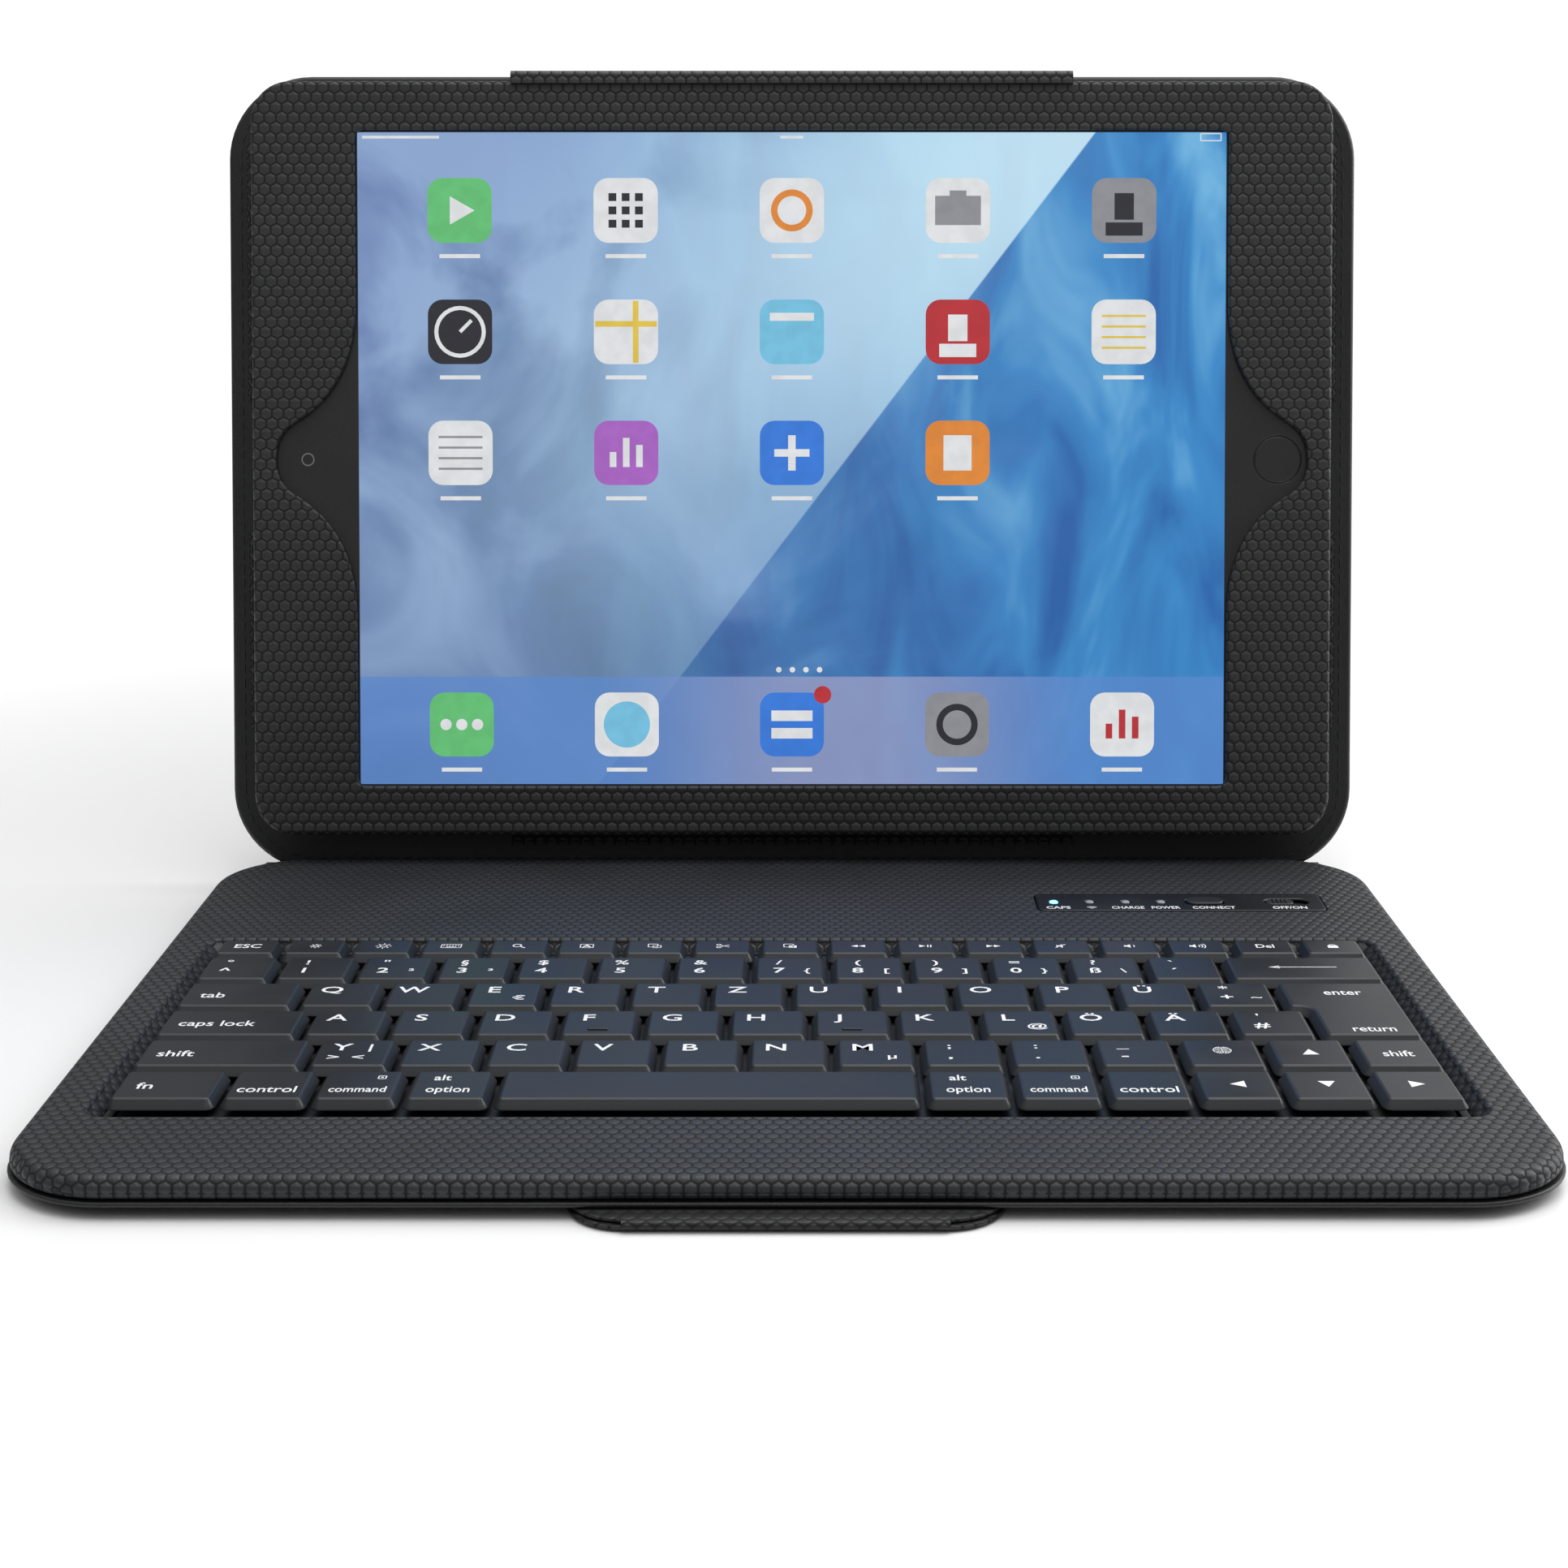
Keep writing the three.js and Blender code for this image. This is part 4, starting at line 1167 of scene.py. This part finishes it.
def make_bottom_gusset():
    shape = Shape()
    wall = [(10.0, 8.2), (9.9, 5.5), (9.85, 3.4), (9.9, 2.2), (9.5, 1.2), (8.8, 0.6), (7.1, 0.5)]
    strip(shape, wall, lambda x, p: lid_point(x, p.x, p.y), (-65, 65), 0.45, 20)
    shape.make_sheet("bottom_gusset_skin", "lid", "faux_leather", HEX_LID, "gusset_bottom")


STITCH = 2.3
STITCH_GAP = 1.0
THREAD_RADIUS = 0.21


def stitches(name, route, place, slot):
    """Sewn stitches on the lid along a route of 2D points: short rounded lengths of thread."""
    shape = Shape()
    route = [Vector(p) for p in route]
    distance, target = 0.0, 0.5
    centres = []
    for a, b in zip(route, route[1:]):
        span = (b - a).length
        while span > 1e-6 and target <= distance + span:
            t = (target - distance) / span
            centres.append((a.lerp(b, t), (b - a).normalized()))
            target += STITCH + STITCH_GAP
        distance += span
    section = [(0.0, 0.45), (0.18, 0.85), (0.5, 1.0), (0.82, 0.85), (1.0, 0.45)]
    for centre, along in centres:
        across = Vector((-along.y, along.x))
        loops = []
        for t, scale in section:
            spot = centre + along * STITCH * (t - 0.5)
            radius = THREAD_RADIUS * scale
            ring = []
            for k in range(6):
                angle = math.pi * 2 * k / 6
                p = spot + across * (radius * math.cos(angle))
                ring.append(place(p, radius * math.sin(angle) * 0.8 + 0.06 * (scale - 0.4)))
            loops.append(shape.add_loop(ring))
        for a, b in zip(loops, loops[1:]):
            shape.bridge(a, b)
        shape.faces.append(tuple(reversed(loops[0])))
        shape.faces.append(tuple(loops[-1]))
    shape.make_sheet(name, "lid", slot, THREAD)


make_cover()
make_pocket_frame()
GUSSETS = {"upper": (109.8, 168.3), "lower": (34.3, 79.3)}
for height_name, (gusset_low, gusset_high) in GUSSETS.items():
    make_side_gusset(-1, f"left_{height_name}", gusset_low, gusset_high)
    make_side_gusset(1, f"right_{height_name}", gusset_low, gusset_high)
make_bottom_gusset()


def make_top_flap():
    """The embossed sheet that runs from the pocket's front over its top edge."""
    shape = Shape()
    path = ([(179.7, FRAME_N + 0.02), (180.8, FRAME_N)] + arc_path((181.1, 8.9), 0.85, 75, 0, 5)
            + [(182.0, 7.0), (182.0, 4.5), (181.95, 2.2)])
    strip(shape, path, lambda x, p: lid_point(x, p.x, p.y), (-63.5, 63.5), 0.8, 24)
    piece = shape.make_sheet("flap_skin", None, "faux_leather", HEX_LID, "top_flap")
    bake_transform(piece)


make_top_flap()


def lid_edge_route(inset):
    loop = box_outline(-LID_HALF, LID_BOTTOM, LID_HALF, LID_TOP, LID_CORNER, -inset, EDGE_STEPS)
    return loop + [loop[0]]


def gusset_place(p, h):
    return lid_point(p.x, p.y, 0.98 + h)


for face_name, face_n, outward in (("inside", 0.02, 1), ("outside", COVER_OUTER_N - 0.02, -1)):
    stitches(f"cover_stitches_{face_name}", lid_edge_route(2.8),
             lambda p, h: lid_point(p.x, p.y, face_n + outward * h), "smooth_cover")
stitches("gusset_stitches", [(-64, 7.9), (64, 7.9)], gusset_place, "faux_leather")
for side_name, stitch_x in (("left", -124.6), ("right", 124.6)):
    for height_name, (gusset_low, gusset_high) in GUSSETS.items():
        stitches(f"gusset_stitches_{height_name}_{side_name}",
                 [(stitch_x, gusset_low + 1), (stitch_x, gusset_high - 1)], gusset_place, "faux_leather")

# ------------------------------------------------------------------ tablet


GLASS_N = 8.0
HOME_X = 110.6
FRONT_CAMERA_X = -110.15


def home_contour(radius):
    return round_contour(HOME_X, DISPLAY_U, radius, 40)


def make_tablet():
    shape = Shape()
    slab(shape, box_contour(*TABLET, 8.5, 10), lid_place, 1.2, 7.35, 0.4, 2.4)
    shape.make("tablet_body", "lid", "tablet_metal", ALUMINIUM, "tablet_shell")
    glass = Shape()
    inset = [TABLET[0] + 0.4, TABLET[1] + 0.4, TABLET[2] - 0.4, TABLET[3] - 0.4]
    slab(glass, box_contour(*inset, 8.1, 10), lid_place, 7.4, GLASS_N, 0.15, 0.05, [home_contour(5.55)], 0.1)
    glass.make("tablet_face", "lid", "tablet_screen", TABLET_FACE, "tablet_glass")
    button = Shape()
    slab(button, home_contour(5.25), lid_place, 6.85, 7.95, 0.2, 0.1)
    button.make("home_key", "home_button", "tablet_button", TABLET_FACE, "home_button")
    ring = Shape()
    slab(ring, home_contour(5.5), lid_place, 7.3, 8.03, 0.05, 0.05, [home_contour(5.3)], 0.02)
    ring.make("home_ring", "lid", "tablet_screen", TRAY)
    lens = Shape()
    slab(lens, round_contour(LENS_X, LENS_U, 4.6), lambda p, h: lid_point(p.x, p.y, -h), -0.9, -0.35,
         0.2, 0.1)
    lens.make("rear_camera", "lid", "tablet_screen", TABLET_FACE, "rear_lens")
    eye = Ink(lambda x, y, h: lid_point(x, y, GLASS_N + h))
    eye.arc(FRONT_CAMERA_X, DISPLAY_U, 1.35, 0.28, steps=24)
    ring_grey = moulded("ring_grey", (0.3, 0.3, 0.31), (0.2, 0.2, 0.21), 0.4)
    eye.make("front_camera_ring", "lid", "tablet_screen", ring_grey)


make_tablet()


def screen_material():
    """A calm wallpaper of soft blue light, lit from behind, with a painted glare highlight in a bright
    diagonal band.
    """
    nodes = Nodes("lit_screen")
    skin = nodes.skin()
    parts = nodes.add("ShaderNodeSeparateXYZ", {0: skin})
    x, u = parts.outputs[0], parts.outputs[1]
    clouds = {"Vector": skin, "Scale": 0.016, "Detail": 4.0, "Distortion": 1.4}
    warp = nodes.add("ShaderNodeTexNoise", clouds).outputs[0]
    stretched = nodes.vector("MULTIPLY", skin, (0.05, 0.018, 1)).outputs[0]
    rays = {"Vector": stretched, "Scale": 1.0, "Detail": 3.0, "Distortion": 0.9}
    streaks = nodes.add("ShaderNodeTexNoise", rays).outputs[0]
    across = nodes.smooth(x, -98.0, 98.0)
    left = nodes.ramp(nodes.math("ADD", warp, nodes.math("MULTIPLY", u, 0.0022)), [
        (0.42, (0.025, 0.055, 0.16)), (0.62, (0.075, 0.14, 0.34)), (0.85, (0.27, 0.39, 0.64))])
    right = nodes.ramp(nodes.math("ADD", streaks, nodes.math("MULTIPLY", u, 0.0008)), [
        (0.36, (0.02, 0.12, 0.4)), (0.6, (0.045, 0.26, 0.6)), (0.8, (0.16, 0.46, 0.76))])
    colour = nodes.mix(across, left, right)
    # Painted highlight: a glare lies to the left of a slanting line, stronger towards the top.
    line = nodes.math("SUBTRACT", nodes.math("MULTIPLY", u, 0.765), nodes.math("ADD", x, 84.3 - 24.0))
    glare_side = nodes.smooth(line, 0.0, 0.6)
    glare_fade = nodes.smooth(line, 150.0, 0.0)
    rise = nodes.smooth(u, 30.0, 175.0, 0.15, 1.0)
    strength = nodes.math("MULTIPLY", nodes.math("MULTIPLY", glare_side, glare_fade), nodes.math("MULTIPLY", rise, 0.85))
    # Painted highlight: the glare turns the wallpaper pale cyan.
    colour = nodes.mix(strength, colour, (0.62, 0.86, 0.97))
    dock = nodes.smooth(u, 46.1, 45.7)
    warm = nodes.smooth(nodes.math("ABSOLUTE", nodes.math("SUBTRACT", x, 12.0)), 60.0, 5.0)
    dock_colour = nodes.mix(nodes.math("MULTIPLY", warm, 0.55), (0.1, 0.25, 0.62), (0.5, 0.45, 0.55))
    colour = nodes.mix(nodes.math("MULTIPLY", dock, 0.72), colour, dock_colour)
    nodes.tree.links.new(colour, nodes.shader.inputs["Emission Color"])
    nodes.shader.inputs["Emission Strength"].default_value = 0.95
    return nodes.finish((0.01, 0.01, 0.012), 0.22, None)


def picture_material(name, colour):
    nodes = Nodes(name)
    unevenness = nodes.smooth(nodes.noise(260, 2, nodes.where()), 0.3, 0.7)
    tone = nodes.mix(unevenness, [c * 0.9 for c in colour], colour)
    nodes.tree.links.new(tone, nodes.shader.inputs["Emission Color"])
    nodes.shader.inputs["Emission Strength"].default_value = 0.85
    return nodes.finish((0.02, 0.02, 0.02), 0.25, None)


SCREEN_N = 8.03
PICTURES = {name: picture_material(f"picture_{name}", colour) for name, colour in {
    "white": (0.86, 0.88, 0.9), "green": (0.14, 0.6, 0.2), "black": (0.02, 0.02, 0.03),
    "red": (0.55, 0.03, 0.04), "violet": (0.45, 0.14, 0.62), "blue": (0.04, 0.22, 0.8),
    "sky": (0.2, 0.6, 0.85),
    "orange": (0.85, 0.28, 0.04), "yellow": (0.85, 0.62, 0.08), "grey": (0.3, 0.31, 0.34)}.items()}


class Screen:
    """Flat coloured shapes in thin layers in front of the display."""

    def __init__(self):
        self.layers = {}

    def ink(self, colour, level):
        def place(x, u, h):
            return lid_point(x, u, SCREEN_N + 0.03 * level + h)
        return self.layers.setdefault((colour, level), Ink(place))

    def tile(self, colour, x, u, size=14.6, level=1):
        self.ink(colour, level).polygon([tuple(p) for p in box_outline(
            x - size / 2, u - size / 2, x + size / 2, u + size / 2, size * 0.23, 0, 6)])

    def make(self):
        for (colour, level), ink in self.layers.items():
            ink.make(f"screen_{colour}_{level}", "lid", "tablet_screen", PICTURES[colour])


def play_mark(ink, x, u):
    triangle(ink, x + 0.6, u, 5.6, 6.4, 0)


def grid_mark(ink, x, u):
    for i in range(9):
        ink.box(x - 3 + 3 * (i % 3), u - 3 + 3 * (i // 3), 1.8, 1.8)


def ring_mark(ink, x, u):
    ink.arc(x, u, 4.0, 1.5, steps=28)


def block_mark(ink, x, u):
    ink.box(x, u, 10.4, 6.6)
    ink.box(x, u + 3.8, 3.8, 1.4)


def stand_mark(ink, x, u):
    ink.box(x, u - 4.2, 8.4, 3.0)
    ink.box(x, u + 0.9, 4.4, 6.0)


def dial_mark(ink, x, u):
    ink.arc(x, u, 5.4, 0.9, steps=28)
    ink.bar(x, u, x + 2.6, u + 2.6, 0.8)


def cross_mark(ink, x, u):
    ink.bar(x - 7, u + 1.8, x + 7, u + 1.8, 1.3)
    ink.bar(x + 2.2, u - 7, x + 2.2, u + 7, 1.3)


def bar_mark(ink, x, u):
    ink.box(x, u + 3.4, 10.0, 1.8)


def lines_mark(ink, x, u):
    for i in range(4):
        ink.box(x, u - 3.6 + 2.4 * i, 10.0, 0.5)


def bars_mark(ink, x, u):
    for i, height in enumerate((3.4, 6.6, 5.0)):
        ink.box(x - 3 + 3 * i, u - 3.2 + height / 2, 1.5, height)


def plus_mark(ink, x, u):
    ink.box(x, u, 8.0, 1.7)
    ink.box(x, u, 1.7, 8.0)


def page_mark(ink, x, u):
    ink.box(x, u, 6.4, 8.0)


def dots_mark(ink, x, u):
    for i in range(3):
        ink.disc(x - 3.6 + 3.6 * i, u, 1.3, 14)


def disc_mark(ink, x, u):
    ink.disc(x, u, 5.3, 32)


def slot_mark(ink, x, u):
    ink.box(x, u + 2.0, 9.4, 2.4)
    ink.box(x, u - 2.0, 9.4, 2.4)


# Every tile is its colour, its mark's colour and the mark, a plain shape that stands for no real program.
TILE_ROWS = {
    151.6: [("green", "white", play_mark), ("white", "black", grid_mark), ("white", "orange", ring_mark),
            ("white", "grey", block_mark), ("grey", "black", stand_mark)],
    124.2: [("black", "white", dial_mark), ("white", "yellow", cross_mark), ("sky", "white", bar_mark),
            ("red", "white", stand_mark), ("white", "yellow", lines_mark)],
    96.8: [("white", "grey", lines_mark), ("violet", "white", bars_mark), ("blue", "white", plus_mark),
           ("orange", "white", page_mark)],
    35.0: [("green", "white", dots_mark), ("white", "sky", disc_mark), ("blue", "white", slot_mark),
           ("grey", "black", ring_mark), ("white", "red", bars_mark)],
}
TILE_PITCH = 37.7
TOP_LINE_U = 168.1


def make_screen():
    glass = Shape()
    half_x, half_u = 98.55, 73.9
    edge = box_contour(-half_x, DISPLAY_U - half_u, half_x, DISPLAY_U + half_u, 0.3, 2)
    slab(glass, edge, lid_place, GLASS_N, SCREEN_N, 0.01, 0.01)
    glass.make("display", "lid", "tablet_screen", screen_material())
    screen = Screen()
    white = screen.ink("white", 2)
    for u, row in TILE_ROWS.items():
        for column, (colour, mark_colour, mark) in enumerate(row):
            x = (column - 2) * TILE_PITCH
            screen.tile(colour, x, u)
            mark(screen.ink(mark_colour, 2), x, u)
            white.bar(x - 4.6, u - 10.3, x + 4.6, u - 10.3, 0.9)
    screen.ink("red", 5).disc(7.0, 41.8, 2.0, 20)
    white.bar(-2.6, TOP_LINE_U, 2.6, TOP_LINE_U, 0.6)
    white.bar(-97.4, TOP_LINE_U, -80, TOP_LINE_U, 0.6)
    white.box(95.0, TOP_LINE_U, 4.6, 1.6, 0.25)
    for i in range(4):
        white.disc(-3 + 3.1 * i, 47.5, 0.65, 10)
    screen.make()


make_screen()

# ------------------------------------------------------------------ spine: two leaves and three folds

FOLD_Y = 2.4
LEAF_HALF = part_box("spine_lower")[1].x / MM
LEAF_REAR = 12.0
LEAF_HALF_THICK = 0.35
LOWER_LEAF_Z = 0.45
UPPER_LEAF_Z = 1.45


def make_leaf(body, middle):
    shape = Shape()
    outer = box_contour(-LEAF_HALF, FOLD_Y + 1.1, LEAF_HALF, LEAF_REAR - 1.1, 1.0, 4)
    slab(shape, outer, base_place, middle - LEAF_HALF_THICK, middle + LEAF_HALF_THICK, 0.2, 0.2)
    shape.make(f"{body}_skin", body, "smooth_cover", COVER, body)


def make_fold(name, path, look, half, thickness, steps):
    """A bent sheet, made on no body. look is a slot and a material."""
    shape = Shape()
    strip(shape, path, lambda x, p: base_point(x, p.x, p.y), (-half, half), thickness, steps)
    return shape.make_sheet(name, None, *look)


FOLD_LOOK = ("smooth_cover", COVER)
TAB_LOOK = ("faux_leather", HEX_TAB)

make_leaf("spine_lower", LOWER_LEAF_Z)
make_leaf("spine_upper", UPPER_LEAF_Z)
rear_path = [(10.2, 0.13)] + arc_path((11.5, 0.95), 0.82, -90, 90, 12) + [(10.2, 1.77)]
rear_fold = make_fold("rear_fold", rear_path, FOLD_LOOK, LEAF_HALF - 0.4, 0.5, 4)
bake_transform(rear_fold)
base_path = [(-3.5, 1.6), (-0.5, 1.55), (1.0, 1.2), (2.4, 0.4), (4.2, 0.16)]
base_fold = make_fold("base_hinge_fold", base_path, FOLD_LOOK, LEAF_HALF - 0.4, 0.5, 4)
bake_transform(base_fold)


def make_lid_fold():
    """The short fold between the upper leaf and the foot of the cover."""
    foot = lid_point(0, LID_BOTTOM + 1.2, -1.55)
    foot_y, foot_z = foot.y / MM - REAR_EDGE, foot.z / MM
    path = bezier(Vector((5.2, 1.2)), Vector((3.4, 1.1)), Vector((2.6, 1.3)), Vector((foot_y, foot_z)), 8)
    piece = make_fold("lid_hinge_fold", [(5.6, 1.22)] + path, FOLD_LOOK, LEAF_HALF - 16, -0.5, 4)
    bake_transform(piece)


make_lid_fold()

# ------------------------------------------------------------------ closure tab

TAB_HALF = 35.5
TAB_FOLD = -188.5
RISER_END = TAB_FOLD + 20.9
CLASP_END = RISER_END + 30


def tab_plate(name, body, low_y, high_y, corner_low, corner_high, low, high, replaces):
    shape = Shape()
    radii = [corner_low, corner_low, corner_high, corner_high]
    outer = box_contour(-TAB_HALF, low_y, TAB_HALF, high_y, radii, 10)
    slab(shape, outer, base_place, low, high, 0.25, 0.25)
    shape.make(name, body, *TAB_LOOK, replaces, sharp=60)


tab_plate("tab_root", "keyboard_half", TAB_FOLD + 1.3, TAB_FOLD + 17.5, 10, 2, 0.9, 1.55, "closure_root")
tab_plate("tab_riser", "closure_riser", TAB_FOLD + 0.4, RISER_END - 0.6, 10, 1, 0.02, 0.72, "closure_riser")
tab_plate("tab_clasp", "closure_clasp", RISER_END + 0.6, CLASP_END, 1, 10, 0.02, 0.72, "closure_clasp")


def make_tab_folds():
    """The sheet round the front of the tab, and the bare line where its clasp bends."""
    bend = arc_path((TAB_FOLD + 0.72, 0.78), 0.7, 270, 90, 10)
    front_path = [(TAB_FOLD + 3.0, 0.08)] + bend + [(TAB_FOLD + 3.0, 1.48)]
    front = make_fold("tab_front_fold", front_path, TAB_LOOK, TAB_HALF - 9.5, -0.5, 12)
    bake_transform(front)
    line_path = [(RISER_END + y, 0.1) for y in (-2.2, -0.8, 0, 0.8, 2.2)]
    line = make_fold("tab_clasp_fold", line_path, TAB_LOOK, TAB_HALF - 0.4, 0.5, 12)
    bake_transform(line)


make_tab_folds()
